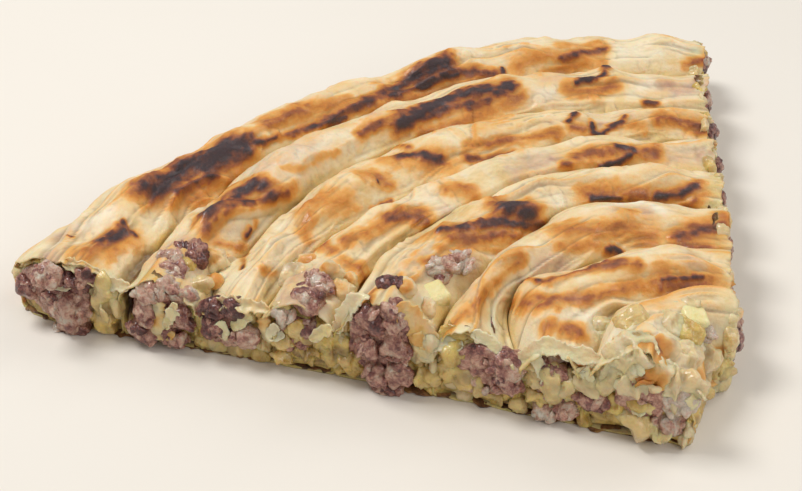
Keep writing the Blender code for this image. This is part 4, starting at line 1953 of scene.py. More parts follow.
@dataclass(frozen=True)
class Studio:
    """Plain pale floor, soft lights and an even surround.

    Attributes:
        floor_size: side of the floor.
        floor_colours: its two colours, which a broad noise mixes.
        surround: strength of the even light from all round.
        surround_colour: its colour.
        lamps: position, side and power of each square lamp, which looks at the middle.
    """

    floor_size: float = 6.0
    floor_colours: tuple[Colour, Colour] = (tint(236, 230, 220), tint(228, 221, 210))
    surround: float = 0.39
    surround_colour: Colour = (1.0, 0.985, 0.96, 1.0)
    lamps: tuple[tuple[tuple[float, float, float], float, float], ...] = (
        ((-0.54, 0.16, 1.00), 0.42, 8.3),
        ((0.80, 0.45, 0.85), 0.60, 3.2),
        ((0.44, -0.48, 0.46), 0.36, 1.15),
    )

    def make(self) -> None:
        """Builds the floor, the surround and the lamps."""
        corner = self.floor_size / 2
        mesh = bpy.data.meshes.new("floor")
        signs = ((-1, -1), (1, -1), (1, 1), (-1, 1))
        mesh.from_pydata([(east * corner, north * corner, 0.0) for east, north in signs], [], [(0, 1, 2, 3)])
        floor = bpy.data.objects.new("floor", mesh)
        bpy.context.scene.collection.objects.link(floor)
        finish = Finish("floor", Roughness=0.7)
        colour = finish.mix(*self.floor_colours, finish.noise(0.4))
        finish.tree.links.new(colour.socket, finish.shader.inputs["Base Color"])
        mesh.materials.append(finish.material)
        world = bpy.data.worlds.new("surround")
        world.use_nodes = True
        background = world.node_tree.nodes["Background"]
        background.inputs["Color"].default_value = self.surround_colour
        background.inputs["Strength"].default_value = self.surround
        bpy.context.scene.world = world
        bpy.context.scene.view_settings.view_transform = "Standard"
        for number, (position, side, power) in enumerate(self.lamps, start=1):
            lamp = bpy.data.lights.new(f"lamp_{number}", "AREA")
            lamp.size = side
            lamp.energy = power
            thing = bpy.data.objects.new(f"lamp_{number}", lamp)
            thing.location = position
            away = np.array(position) / np.linalg.norm(position)
            thing.rotation_euler = (math.acos(away[2]), 0.0, math.atan2(away[0], -away[1]))
            bpy.context.scene.collection.objects.link(thing)


# Short names for the tables.
TOAST, PALE, MEAT, WET, GRAIN, SINK = Tone
MINCE, DOUGH = Stuff

# Strokes on the tops: what it is, what it changes, its roll, its reach in millimetres, its strength at
# the middle, and the pixels that it runs through.
TOP_STROKES = (
    ("small burnt patch", TOAST, 1, 3.6, 0.98, (100, 243), (112, 240), (124, 234)),
    ("its tan halo", TOAST, 1, 6.5, 0.46, (84, 252), (102, 248), (128, 240)),
    ("dark fold by it", TOAST, 1, 1.6, 0.85, (124, 225), (131, 233), (136, 238)),
    ("dark bubble at the tip", MEAT, 1, 5, 0.65, (60, 236), (76, 228)),
    ("speck on the bubble", TOAST, 1, 0.8, 1.0, (67, 235), (71, 235)),
    ("pink meat at the tip", MEAT, 1, 5.5, 1.0, (28, 284), (36, 268), (50, 254)),
    ("tan bit at the tip", TOAST, 1, 2.8, 0.40, (42, 263), (52, 264)),
    ("white patches", PALE, 1, 5, 1.0, (84, 224), (108, 214)),
    ("white under the burnt patch", PALE, 1, 4.5, 0.9, (75, 258), (100, 266), (130, 256)),
    ("long burnt stretch", TOAST, 1, 6.4, 1.05, (153, 187), (185, 172), (222, 154), (240, 146)),
    ("its ragged lower part", TOAST, 1, 4.2, 0.82, (145, 192), (185, 190), (215, 170), (245, 154)),
    ("its tan halo", TOAST, 1, 5.8, 0.44, (135, 197), (170, 200), (205, 192), (240, 172)),
    ("dark crest line", TOAST, 1, 2.1, 0.84, (240, 147), (262, 143), (300, 130), (345, 117)),
    ("brown behind it", TOAST, 1, 5, 0.52, (262, 126), (285, 117), (305, 113)),
    ("second brown patch", TOAST, 1, 3.8, 0.50, (300, 110), (330, 106), (352, 100)),
    ("meat behind the crest", MEAT, 1, 4, 0.5, (308, 103), (326, 103)),
    ("brown crest", TOAST, 1, 3.2, 0.76, (322, 121), (345, 112), (375, 98), (400, 85)),
    ("second burnt stretch", TOAST, 1, 5.5, 1.0, (392, 90), (412, 78), (432, 68), (446, 64)),
    ("its lower crest", TOAST, 1, 2.6, 1.05, (420, 85), (445, 77), (458, 75)),
    ("its brown end", TOAST, 1, 3.4, 0.72, (452, 73), (475, 71), (494, 74)),
    ("its tan halo", TOAST, 1, 5, 0.44, (375, 106), (420, 96), (455, 88), (492, 83)),
    ("dark notch", TOAST, 1, 1.1, 1.0, (502, 68), (503, 79)),
    ("pale back", PALE, 1, 6, 0.8, (450, 60), (480, 50), (520, 44)),
    ("tan by the notch", TOAST, 1, 4.2, 0.38, (515, 66), (540, 58), (562, 54)),
    ("brown line", TOAST, 1, 2.8, 0.76, (562, 58), (585, 53), (604, 48)),
    ("tan below it", TOAST, 1, 3.6, 0.42, (545, 72), (575, 66), (602, 62)),
    ("tan back", TOAST, 1, 3.6, 0.34, (560, 46), (600, 43)),
    ("pale corner", PALE, 1, 7, 0.7, (615, 47), (650, 52), (685, 50)),
    ("brown knob", TOAST, 1, 3, 0.60, (688, 64), (702, 58)),
    ("burnt patch", TOAST, 2, 4.6, 1.05, (208, 215), (220, 207), (238, 194), (256, 185)),
    ("its brown tail", TOAST, 2, 2.6, 0.78, (240, 205), (262, 201), (284, 194)),
    ("its tan upper side", TOAST, 2, 3.4, 0.40, (200, 204), (226, 189), (252, 179)),
    ("brown below it", TOAST, 2, 4.2, 0.62, (208, 234), (206, 222)),
    ("tan end of the tail", TOAST, 2, 3.6, 0.40, (262, 190), (288, 190)),
    ("bubble", MEAT, 2, 5, 0.4, (226, 230), (240, 232)),
    ("tan rim of the bubble", TOAST, 2, 1.8, 0.44, (216, 241), (240, 247), (262, 238), (258, 222)),
    ("small dark mark", TOAST, 2, 1.5, 0.92, (252, 229), (248, 236)),
    ("purple meat on top", MEAT, 2, 6, 1.0, (178, 250), (188, 248), (196, 262)),
    ("its grains", GRAIN, 2, 9, 0.8, (168, 262), (190, 255), (210, 262)),
    ("grey-pink meat beside it", MEAT, 2, 5, 0.6, (166, 258), (172, 275)),
    ("peach bumps", TOAST, 2, 5.5, 0.34, (208, 256), (222, 262), (232, 272)),
    ("mince under torn dough", GRAIN, 2, 10, 1.0, (262, 176), (290, 164), (320, 150), (352, 140)),
    ("its white fat", PALE, 2, 5, 0.8, (262, 182), (300, 158), (330, 140), (352, 136)),
    ("its orange bits", TOAST, 2, 2.2, 0.24, (282, 172), (300, 170), (322, 158), (336, 152)),
    ("its pink", MEAT, 2, 6.2, 0.85, (258, 178), (274, 168), (296, 160), (314, 146)),
    ("brown folds", TOAST, 2, 3, 0.62, (360, 136), (375, 127), (388, 122)),
    ("pink meat by the folds", MEAT, 2, 3.4, 0.75, (374, 116), (392, 109)),
    ("burnt strip", TOAST, 2, 4.3, 1.05, (396, 124), (420, 114), (447, 102), (472, 93), (508, 89)),
    ("its red-brown underside", TOAST, 2, 3, 0.80, (412, 121), (440, 112), (468, 105), (488, 99)),
    ("its tan halo", TOAST, 2, 4.6, 0.44, (425, 134), (455, 125), (488, 110), (520, 95)),
    ("grey-pink skin", MEAT, 2, 4.6, 0.4, (505, 106), (530, 98), (552, 96)),
    ("pale skin", PALE, 2, 5, 0.7, (520, 98), (560, 90)),
    ("pink at the crease", MEAT, 2, 3, 0.8, (545, 82), (560, 80), (572, 82)),
    ("dark ridge", TOAST, 2, 1.7, 1.05, (577, 83), (590, 80), (604, 74), (611, 70)),
    ("tan round the ridge", TOAST, 2, 4.2, 0.50, (570, 88), (592, 90), (614, 84)),
    ("red-brown bulge", MEAT, 2, 5, 0.9, (610, 56), (624, 62), (638, 72)),
    ("its browning", TOAST, 2, 4.6, 0.52, (600, 66), (620, 62), (636, 70)),
    ("white flap", PALE, 2, 3.2, 1.0, (632, 90), (650, 83)),
    ("meat at the right", MEAT, 2, 5.6, 0.85, (660, 80), (676, 88), (698, 84)),
    ("its grains", GRAIN, 2, 6.6, 0.8, (660, 82), (680, 88), (700, 86)),
    ("brown knob", TOAST, 2, 2.6, 0.70, (648, 103), (654, 104)),
    ("cream top", PALE, 3, 6, 0.45, (225, 288), (262, 268), (300, 238)),
    ("tan spot", TOAST, 3, 2.6, 0.36, (263, 270), (271, 269)),
    # Painted shade: a dark line along the slit, drawn with the toast tone.
    ("slit beside the second roll", TOAST, 3, 1, 1.0, (240, 266), (252, 246), (266, 230), (284, 213)),
    ("its depth", SINK, 3, 1.2, 0.7, (240, 266), (252, 246), (266, 230), (284, 213)),
    # Painted shade: a dark line in the hollow, drawn with the toast tone.
    ("hollow by the fourth roll", TOAST, 3, 1.3, 0.85, (375, 209), (384, 204), (392, 200)),
    ("tan patch", TOAST, 3, 6.2, 0.42, (304, 206), (322, 200), (342, 200)),
    ("its lower part", TOAST, 3, 4, 0.42, (308, 212), (304, 228), (310, 238)),
    ("second tan patch", TOAST, 3, 4.4, 0.44, (362, 177), (376, 178), (390, 184)),
    ("pinhole in it", TOAST, 3, 0.6, 1.0, (377, 182), (377, 183)),
    ("dark brown patch", TOAST, 3, 4, 0.86, (400, 158), (422, 157), (440, 160)),
    ("its halo", TOAST, 3, 6.6, 0.40, (392, 160), (420, 162), (446, 162)),
    ("small brown patch", TOAST, 3, 2.2, 0.56, (388, 148), (400, 146), (412, 150)),
    ("red-brown gloss", TOAST, 3, 2.7, 0.76, (468, 157), (490, 159), (514, 154)),
    ("tan band", TOAST, 3, 3.2, 0.52, (470, 146), (510, 138), (558, 131)),
    ("dark fold", TOAST, 3, 1.5, 0.92, (568, 121), (576, 114)),
    ("tan under the fold", TOAST, 3, 3.2, 0.50, (572, 126), (586, 128)),
    ("black curl", TOAST, 3, 1.7, 0.98, (592, 122), (594, 131), (602, 134), (610, 127), (624, 118)),
    ("grey meat in the curl", MEAT, 3, 3, 0.9, (602, 124), (615, 122), (626, 116)),
    ("tan beside the curl", TOAST, 3, 3.4, 0.36, (632, 124), (644, 127)),
    ("red-brown end", TOAST, 3, 4, 0.62, (660, 119), (682, 122), (706, 128)),
    ("pink in the end", MEAT, 3, 3.6, 0.6, (690, 130), (706, 132)),
    ("wet yellow bit", WET, 4, 3, 1.0, (284, 263), (292, 268)),
    ("pink meat", MEAT, 4, 5.8, 1.0, (300, 274), (318, 284), (330, 276)),
    ("its grains", GRAIN, 4, 9, 1.0, (290, 280), (312, 290), (334, 280)),
    ("more pink meat", MEAT, 4, 4.2, 0.9, (290, 296), (312, 300)),
    ("crinkled tan", TOAST, 4, 3, 0.54, (312, 251), (322, 246), (332, 250)),
    ("second crinkled tan", TOAST, 4, 4, 0.50, (346, 263), (356, 270), (361, 279)),
    ("tan ridge", TOAST, 4, 3.6, 0.50, (345, 239), (365, 232), (385, 220), (402, 212), (426, 212)),
    ("brown on the ridge", TOAST, 4, 3.6, 0.62, (386, 219), (404, 215), (424, 221)),
    ("pink beside it", MEAT, 4, 3.4, 0.65, (440, 212), (452, 215)),
    ("tan patch", TOAST, 4, 4, 0.46, (446, 189), (460, 186), (474, 197)),
    ("pale patch", PALE, 4, 4.2, 0.8, (405, 200), (440, 193)),
    ("pink bulge", MEAT, 4, 5.2, 0.6, (515, 172), (530, 165), (548, 160)),
    ("grey meat", MEAT, 4, 3, 1.0, (550, 157), (562, 163)),
    ("its browning", TOAST, 4, 2.2, 0.62, (562, 166), (570, 168)),
    ("tan and brown patch", TOAST, 4, 4.6, 0.56, (576, 158), (600, 153), (622, 150), (652, 154)),
    ("dark line in it", TOAST, 4, 2, 0.98, (616, 147), (632, 152), (622, 160), (600, 168)),
    ("pink at the right", MEAT, 4, 5.2, 0.65, (660, 160), (686, 155)),
    ("grey end", MEAT, 4, 3.4, 0.95, (700, 156), (712, 166)),
    ("yellow dough", WET, 4, 4.5, 0.5, (440, 168), (480, 165), (502, 170)),
    ("red-brown meat on top", MEAT, 5, 5, 1.0, (384, 280), (398, 277)),
    ("its browning", TOAST, 5, 4.4, 0.66, (384, 280), (398, 277)),
    ("tan edge", TOAST, 5, 3, 0.50, (366, 296), (374, 284)),
    ("pink meat", MEAT, 5, 6.2, 0.85, (430, 264), (446, 258), (466, 262)),
    ("its grains", GRAIN, 5, 7.5, 0.9, (430, 266), (446, 262), (466, 264)),
    ("tan spot in it", TOAST, 5, 2, 0.50, (425, 262), (434, 260)),
    ("purple-brown stripe", TOAST, 5, 2.7, 0.82, (440, 234), (462, 230), (484, 226), (500, 222)),
    ("tan round the stripe", TOAST, 5, 4.8, 0.42, (426, 236), (462, 228), (500, 216)),
    ("burnt patch", TOAST, 5, 5.8, 0.98, (502, 206), (514, 211), (528, 213)),
    ("its lower edge", TOAST, 5, 2.8, 0.88, (505, 223), (525, 226), (545, 224)),
    ("glossy brown below", TOAST, 5, 4.4, 0.60, (450, 241), (482, 238), (512, 235), (545, 239)),
    ("its darker end", TOAST, 5, 2.8, 0.70, (543, 240), (556, 243)),
    ("tan slope", TOAST, 5, 2.8, 0.36, (440, 250), (470, 248), (502, 250)),
    ("cream skin", PALE, 5, 8, 0.6, (548, 200), (576, 206)),
    ("dark stripe", TOAST, 5, 2.1, 0.96, (592, 198), (612, 198), (634, 200)),
    ("its halo", TOAST, 5, 4.4, 0.52, (586, 194), (614, 192), (644, 196)),
    ("dark end", TOAST, 5, 3, 0.86, (658, 196), (678, 195), (696, 188)),
    ("tan below the end", TOAST, 5, 3.6, 0.46, (655, 204), (686, 206), (702, 196)),
    ("yellow end", WET, 5, 3.4, 0.7, (704, 190), (712, 200)),
    ("tan ridge by the crease", TOAST, 6, 3.4, 0.48, (446, 334), (462, 317), (480, 300), (500, 278)),
    ("its upper end", TOAST, 6, 3, 0.46, (498, 280), (508, 268), (520, 260)),
    ("pink under thin dough", MEAT, 6, 4.2, 0.75, (536, 268), (548, 262), (560, 262)),
    ("white fold", PALE, 6, 2.2, 1.0, (508, 286), (516, 272), (530, 262)),
    ("speckled tan", TOAST, 6, 6.2, 0.44, (560, 229), (590, 232), (620, 229), (652, 236)),
    ("second speckled tan", TOAST, 6, 3, 0.40, (560, 247), (600, 246)),
    ("pink bump", MEAT, 6, 4, 0.8, (616, 215), (630, 212), (646, 215)),
    ("its white rim", PALE, 6, 2, 1.0, (604, 209), (625, 203), (650, 205), (662, 212)),
    ("tan on the bump", TOAST, 6, 2.2, 0.40, (618, 215), (634, 213)),
    ("brown end", TOAST, 6, 5.2, 0.74, (682, 235), (702, 229), (718, 223)),
    ("its lower part", TOAST, 6, 4.6, 0.58, (678, 246), (704, 248)),
    ("dark spot", TOAST, 6, 2.1, 1.0, (606, 250), (614, 247), (619, 251)),
    ("upper brown stripe", TOAST, 7, 2.5, 0.64, (548, 283), (572, 275), (600, 268), (636, 266)),
    ("its darker part", TOAST, 7, 2.2, 0.62, (590, 267), (620, 263), (640, 267)),
    ("lower brown stripe", TOAST, 7, 3, 0.54, (514, 303), (546, 300), (582, 297), (620, 290), (656, 280)),
    ("fold line", TOAST, 7, 1.3, 0.74, (508, 289), (525, 286), (542, 284)),
    ("brown patch on it", TOAST, 7, 3.8, 0.56, (524, 305), (540, 308), (550, 303)),
    ("brown spot", TOAST, 7, 4, 0.56, (549, 325), (562, 328), (578, 332)),
    ("white dough", PALE, 7, 5, 1.0, (588, 318), (604, 332), (612, 345)),
    ("pale slope", PALE, 7, 5, 0.7, (556, 316), (592, 312)),
    ("pale edge", PALE, 7, 3.4, 0.9, (530, 340), (560, 346), (600, 352)),
    ("speckled end", TOAST, 7, 5.8, 0.60, (664, 281), (686, 287), (706, 284)),
    ("its dark ridge", TOAST, 7, 1.7, 0.82, (662, 280), (685, 277), (704, 277)),
    ("pinkish end", MEAT, 7, 3.4, 0.75, (690, 262), (702, 268)),
    ("toasted spot", TOAST, 8, 4.2, 0.56, (647, 341), (657, 347), (664, 351)),
    ("its darker middle", TOAST, 8, 2, 0.70, (650, 343), (657, 347)),
    ("pale top", PALE, 8, 10, 0.6, (630, 325), (660, 322), (692, 330)),
    # Painted shade and a sunk surface along the dark seam between the first two rolls.
    ("dark seam of the first roll", SINK, 1, 3, 1.0, (154, 254), (143, 267), (132, 282)),
    ("dark seam of the second roll", SINK, 2, 3, 1.0, (154, 254), (143, 267), (132, 282)),
)

# Hollows in the front cut, sunk and painted darker as shade, in the same order of values.
CUT_STROKES = (
    ("hollow under the torn edge", SINK, 7, 3.4, 1.0, (548, 358), (560, 354), (574, 362)),
    ("gap beside the first roll", SINK, 1, 2.6, 1.0, (132, 285), (127, 300), (124, 312)),
    ("gap beside the second roll", SINK, 2, 2.6, 1.0, (140, 275), (132, 295), (128, 312)),
    ("gap in the third roll", SINK, 3, 1.8, 1.0, (256, 316), (259, 330)),
    ("crescent gap", SINK, 4, 2.6, 1.0, (310, 308), (318, 320), (333, 325)),
)
STROKES = tuple(
    Stroke(note, tone, roll, reach / 1000, strength, tuple(path), table is CUT_STROKES)
    for table in (TOP_STROKES, CUT_STROKES)
    for note, tone, roll, reach, strength, *path in table
)

# Lumps: what it is, its stuff, the pixel of its middle, its size in millimetres, its shade, how far it
# stands proud in millimetres, and the roll whose top it lies on, if any.
LUMP_ROWS = (
    ("upper meat of the first roll", MINCE, (66, 279), (14, 6, 6), 0.26, 1),
    ("upper meat beside it", MINCE, (86, 276), (8, 6, 5), 0.26, 0.6),
    ("tip meat", MINCE, (32, 284), (8, 7, 7), 0.34, -1),
    ("second tip meat", MINCE, (46, 268), (9, 8, 6), 0.62, -3, 1),
    ("great lower lump", MINCE, (72, 311), (14, 13, 9), 0.56, 1),
    ("lump beside it", MINCE, (88, 302), (7, 9, 6), 0.56, 0.6),
    ("lump left of it", MINCE, (54, 303), (7, 8, 6), 0.50, 0.4),
    ("foot of the first roll", MINCE, (74, 327), (12, 5, 6), 0.46, 1.6),
    ("folded wet dough", DOUGH, (106, 296), (7, 16, 6), -0.22, 0.4),
    ("second fold", DOUGH, (116, 300), (4, 13, 5), -0.14, 0),
    ("its foot", DOUGH, (106, 318), (10, 7, 6), -0.36, 0.2),
    ("purple lump on top", MINCE, (191, 253), (11, 10, 7), 0.26, -1.2, 2),
    ("grey-pink lump", MINCE, (170, 258), (8, 7, 6), 0.60, -0.6, 2),
    ("pale lump", MINCE, (166, 276), (7, 7, 6), 0.74, -0.8),
    ("pale lump beside it", MINCE, (184, 272), (6, 6, 5), 0.80, -2),
    ("pink lump at the gap", MINCE, (152, 293), (9, 7, 6), 0.74, 1),
    ("purple lump below", MINCE, (148, 311), (8, 9, 7), 0.48, 1.4),
    ("purple lump right", MINCE, (178, 315), (8, 8, 6), 0.42, 1),
    ("foot of the second roll", MINCE, (148, 330), (11, 6, 7), 0.42, 1.8),
    ("foot beside it", MINCE, (172, 334), (10, 6, 6), 0.36, 1.4),
    ("dark meat of the third roll", MINCE, (216, 303), (11, 7, 6), 0.10, 0),
    ("dark meat beside it", MINCE, (236, 304), (6, 5, 5), 0.14, 0.2),
    ("meat below it", MINCE, (212, 325), (6, 9, 6), 0.30, 1),
    ("pinkish foot", MINCE, (248, 336), (8, 7, 6), 0.62, 1.2),
    ("grey bulge", MINCE, (283, 313), (7, 6, 5), 0.90, 0.2),
    ("yellow dough of the fourth roll", DOUGH, (299, 273), (11, 9, 6), 0.10, -1.4, 4),
    ("meat between them", MINCE, (317, 284), (10, 9, 6), 0.56, -1.6, 4),
    ("peach dough right of it", DOUGH, (337, 289), (12, 10, 6), 0.16, -1.6, 4),
    ("meat below it", MINCE, (308, 298), (11, 7, 6), 0.46, -1, 4),
    ("wet bit above it", DOUGH, (289, 266), (7, 6, 5), -0.5, 0.2, 4),
    ("toasted bit above it", DOUGH, (308, 262), (8, 5, 5), 0.30, -0.2, 4),
    ("toasted bit right of it", DOUGH, (330, 271), (8, 6, 5), 0.34, 0.2, 4),
    ("toasted bit far right", DOUGH, (348, 283), (7, 6, 5), 0.26, 0.2, 4),
    ("olive bit on the second roll", DOUGH, (186, 268), (7, 5, 5), -0.5, 0.2, 2),
    ("orange bit at its foot", DOUGH, (214, 284), (8, 5, 5), 0.34, 0.4, 2),
    ("pale bit beside it", DOUGH, (200, 286), (8, 6, 5), -0.1, 0.4, 2),
    ("pale lump on the second roll", MINCE, (172, 271), (10, 9, 6), 0.70, -0.8, 2),
    ("peach bump", DOUGH, (213, 260), (10, 8, 6), 0.18, -0.2, 2),
    ("second peach bump", DOUGH, (228, 270), (9, 8, 6), 0.26, -0.2, 2),
    ("bare mince of the fifth roll", MINCE, (436, 264), (11, 7, 5), 0.88, -1.3, 5),
    ("its right", MINCE, (456, 260), (12, 7, 5), 0.94, -1.3, 5),
    ("its lower part", MINCE, (440, 273), (7, 4, 4), 0.50, -1.3, 5),
    ("toasted bit", DOUGH, (404, 288), (7, 6, 5), 0.30, -0.2, 5),
    ("wet dough under it", DOUGH, (301, 331), (12, 8, 6), -0.50, 0.2),
    ("wet dough right", DOUGH, (333, 347), (12, 10, 6), -0.42, 0.8),
    ("wet dough far right", DOUGH, (350, 362), (9, 10, 6), -0.52, 1),
    ("wet dough left", DOUGH, (282, 337), (9, 8, 6), -0.30, 0.4),
    ("dough foot", DOUGH, (310, 350), (13, 6, 6), -0.60, 0.6),
    ("loose yellow bit", DOUGH, (284, 360), (7, 4, 4), -0.40, 2.2),
    ("shredded meat, upper left", MINCE, (372, 318), (8, 11, 7), 0.46, 1.2),
    ("shredded meat, upper right", MINCE, (392, 318), (9, 12, 7), 0.40, 1),
    ("shredded meat, middle left", MINCE, (370, 345), (8, 9, 7), 0.50, 2),
    ("shredded meat, middle right", MINCE, (396, 346), (9, 10, 7), 0.42, 1.8),
    ("shredded meat, low left", MINCE, (378, 372), (8, 9, 7), 0.52, 2.2),
    ("shredded meat, low right", MINCE, (398, 372), (8, 10, 7), 0.46, 2.2),
    ("foot of the meat", MINCE, (388, 387), (11, 4, 6), 0.40, 2.4),
    ("red-brown lump on top", MINCE, (392, 281), (8, 6, 6), 0.10, -2, 5),
    ("cream dough by the potato", DOUGH, (420, 325), (8, 9, 6), 0.20, 0),
    ("cream dough below", DOUGH, (424, 348), (8, 10, 6), 0.10, 0.8),
    ("clear dough by the potato", DOUGH, (448, 322), (9, 9, 6), -0.45, -1),
    ("foot by the meat", DOUGH, (424, 376), (9, 8, 6), -0.30, 1),
    ("yellow dough of the sixth roll", DOUGH, (454, 352), (10, 8, 6), -0.36, 0.2),
    ("dough under it", DOUGH, (458, 374), (13, 7, 6), -0.30, 1.2),
    ("dough beside the meat", DOUGH, (482, 352), (5, 12, 5), -0.22, 0),
    ("dough foot", DOUGH, (478, 386), (8, 7, 6), -0.25, 1.4),
    ("purple meat, top", MINCE, (506, 346), (11, 7, 6), 0.46, 0.2),
    ("purple meat, middle", MINCE, (508, 362), (11, 8, 7), 0.60, 1.4),
    ("purple meat, low", MINCE, (506, 379), (11, 7, 7), 0.40, 2.2),
    ("fat dot", MINCE, (487, 390), (2.6, 2.6, 2.4), 1.0, 3.6),
    ("pale dough under the hollow", DOUGH, (548, 380), (12, 12, 7), -0.16, 0.8),
    ("pale dough right of it", DOUGH, (566, 384), (9, 10, 6), -0.16, 1),
    ("whitish dough", DOUGH, (590, 370), (10, 13, 6), 0.00, 1),
    ("dough foot of the seventh roll", DOUGH, (540, 396), (10, 6, 6), -0.30, 1.6),
    ("purple meat, low between", MINCE, (592, 400), (10, 5, 6), 0.36, 2.2),
    ("grey meat at the foot", MINCE, (566, 408), (8, 5, 5), 0.60, 2.4),
    ("pale foot", MINCE, (545, 412), (6, 5, 5), 0.90, 3),
    ("tall dough at the corner", DOUGH, (616, 372), (9, 17, 7), -0.12, 0.8),
    ("olive dough at the corner", DOUGH, (615, 410), (8, 13, 6), -0.50, 2),
    ("great pale lump", DOUGH, (636, 352), (14, 13, 9), -0.04, 0),
    ("pale lump below", DOUGH, (634, 378), (12, 12, 8), 0.02, 1.4),
    ("toasted lump", DOUGH, (653, 373), (9, 14, 7), 0.34, 1.2),
    ("pale lump, right", DOUGH, (678, 366), (14, 14, 8), -0.02, 0.6),
    ("pale lump, right low", MINCE, (678, 396), (11, 9, 7), 1.05, 0.8),
    ("yellow bit", DOUGH, (642, 404), (7, 4, 4), -0.35, 3.4),
    ("foot of the corner", DOUGH, (646, 424), (16, 7, 7), -0.20, 2.6),
    ("foot right of it", MINCE, (672, 422), (10, 8, 6), 0.78, 1.6),
    ("white bit on the toast", DOUGH, (655, 388), (3, 2.4, 2), 0.0, 5.2),
    ("white chunk", DOUGH, (612, 331), (9, 10, 6), -0.02, -1.2, 7),
    ("white chunk beside it", DOUGH, (596, 322), (9, 7, 5), -0.06, -1.4, 7),
    ("yellow bulge at the corner", DOUGH, (637, 322), (13, 11, 8), -0.22, -2.4, 8),
    ("white bulge", DOUGH, (665, 320), (12, 9, 7), 0.00, -2.2, 8),
    ("brown bulge", DOUGH, (659, 347), (10, 10, 7), 0.50, -2.2, 8),
    ("yellow bulge left of it", DOUGH, (640, 342), (9, 9, 7), -0.26, -1.8, 8),
    ("white bulge right of it", DOUGH, (683, 350), (12, 11, 8), -0.10, -2.4, 8),
    ("yellow bulge by the potato", DOUGH, (685, 330), (10, 9, 7), -0.42, -1, 8),
    ("pale bulge behind the potato", DOUGH, (684, 306), (10, 6, 5), -0.02, -1, 8),
    ("pale bulge at the right", DOUGH, (706, 352), (9, 9, 7), -0.08, -2.2, 8),
    ("dough over the first potato", DOUGH, (426, 308), (7, 7, 5), 0.06, -0.4, 5),
    ("lilac bit", MINCE, (706, 333), (4, 5, 3), 0.86, -0.6, 8),
)
LUMPS = tuple(
    Lump(note, stuff, pixel, tuple(side / 1000 for side in size), shade, proud / 1000, *roll)
    for note, stuff, pixel, size, shade, proud, *roll in LUMP_ROWS
)

# Flakes: what it is, its width, lift and curl in millimetres, its browning, its whiteness, and the pixels
# of its middle line.
FLAKE_ROWS = (
    ("torn skin of the first roll", 5, 1, 0.6, 0.1, 0.75, (64, 262), (82, 268), (106, 272), (128, 262)),
    ("pale slab between the meats", 2.2, 3.4, 0, 0.0, 0.7, (54, 287), (66, 288), (80, 286)),
    ("peach chip", 7, 4, -0.8, 0.14, 0.4, (166, 296), (163, 310), (160, 326)),
    ("bright chip", 3.4, 5.2, 0, 0.04, 0.75, (170, 300), (178, 312)),
    ("yellow chip", 3, 4.4, 0.6, -0.2, 0.5, (186, 296), (178, 312), (174, 322)),
    ("brown foot chip", 2.6, 5, 0, 0.22, 0.2, (160, 334), (172, 336), (184, 330)),
    ("torn skin of the third roll", 4.6, 1.2, 0.8, 0.13, 0.7, (204, 293), (226, 292), (246, 298), (270, 296)),
    ("pale chip", 4.2, 3.8, -0.4, -0.1, 0.75, (224, 314), (226, 324), (228, 334)),
    ("second pale chip", 3.6, 3.4, 0, -0.2, 0.5, (238, 326), (250, 320), (258, 318)),
    ("yellow-brown chip", 4.8, 2.4, -0.6, 0.12, 0.3, (264, 312), (268, 326), (272, 338)),
    ("white chip", 3.6, 4, 0, 0.0, 0.75, (286, 322), (276, 332), (288, 336)),
    ("yellow fold", 4, 4.2, 0.4, -0.3, 0.5, (318, 336), (330, 330), (340, 326)),
    ("tall flap", 4.6, 1.8, 0.6, 0.02, 0.75, (338, 330), (348, 312), (360, 296), (372, 284)),
    ("cream-orange skin", 7, 2, 0.6, 0.17, 0.4, (396, 300), (410, 310), (420, 326), (432, 340)),
    ("its low end", 4.8, 3.2, 0, 0.12, 0.4, (416, 330), (426, 346), (430, 356)),
    ("torn edge of the sixth roll", 3.6, 2.2, 0.6, 0.07, 0.75, (436, 346), (450, 344), (464, 346)),
    ("white edge by the purple meat", 4, 1.4, 0.4, 0.02, 0.75, (472, 332), (486, 340), (500, 334)),
    ("zigzag edge of roll seven", 5, 1.4, 0.6, 0.02, 0.75, (524, 338), (545, 346), (572, 348), (602, 356)),
    ("brown bit under it", 2.4, 1.6, 0, 0.5, 0.0, (568, 352), (578, 352), (588, 354)),
    ("sheet across the hollow", 4, 3, 0, -0.1, 0.75, (532, 354), (544, 368), (552, 386)),
    ("upright fold", 3.4, 4.2, 0, -0.1, 0.7, (584, 352), (584, 366), (594, 384)),
    ("upright fold at the corner", 3.6, 4, 0, -0.2, 0.6, (606, 346), (608, 362), (606, 380)),
    ("crumpled chip", 4, 5.2, 0, 0.02, 0.7, (628, 362), (640, 366), (650, 362)),
    ("yellow chip low", 3.4, 5.6, 0, -0.1, 0.7, (630, 402), (642, 408), (652, 406)),
)
FLAKES = tuple(
    Flake(note, tuple(path), width / 1000, lift / 1000, curl / 1000, toast, pale)
    for note, width, lift, curl, toast, pale, *path in FLAKE_ROWS
)


@dataclass(frozen=True)
class Spot:
    """A seeded lump and where it lies on a cut.

    Attributes:
        lump: the lump.
        radius: its distance from the coil's middle.
        level: its height.
        beyond: how far out past the cut it lies.
        seed: chooses its shape.
        keeps_clear: whether it is left out where the cut has a hollow.
    """

    lump: Lump
    radius: float
    level: float
    beyond: float
    seed: int
    keeps_clear: bool = True


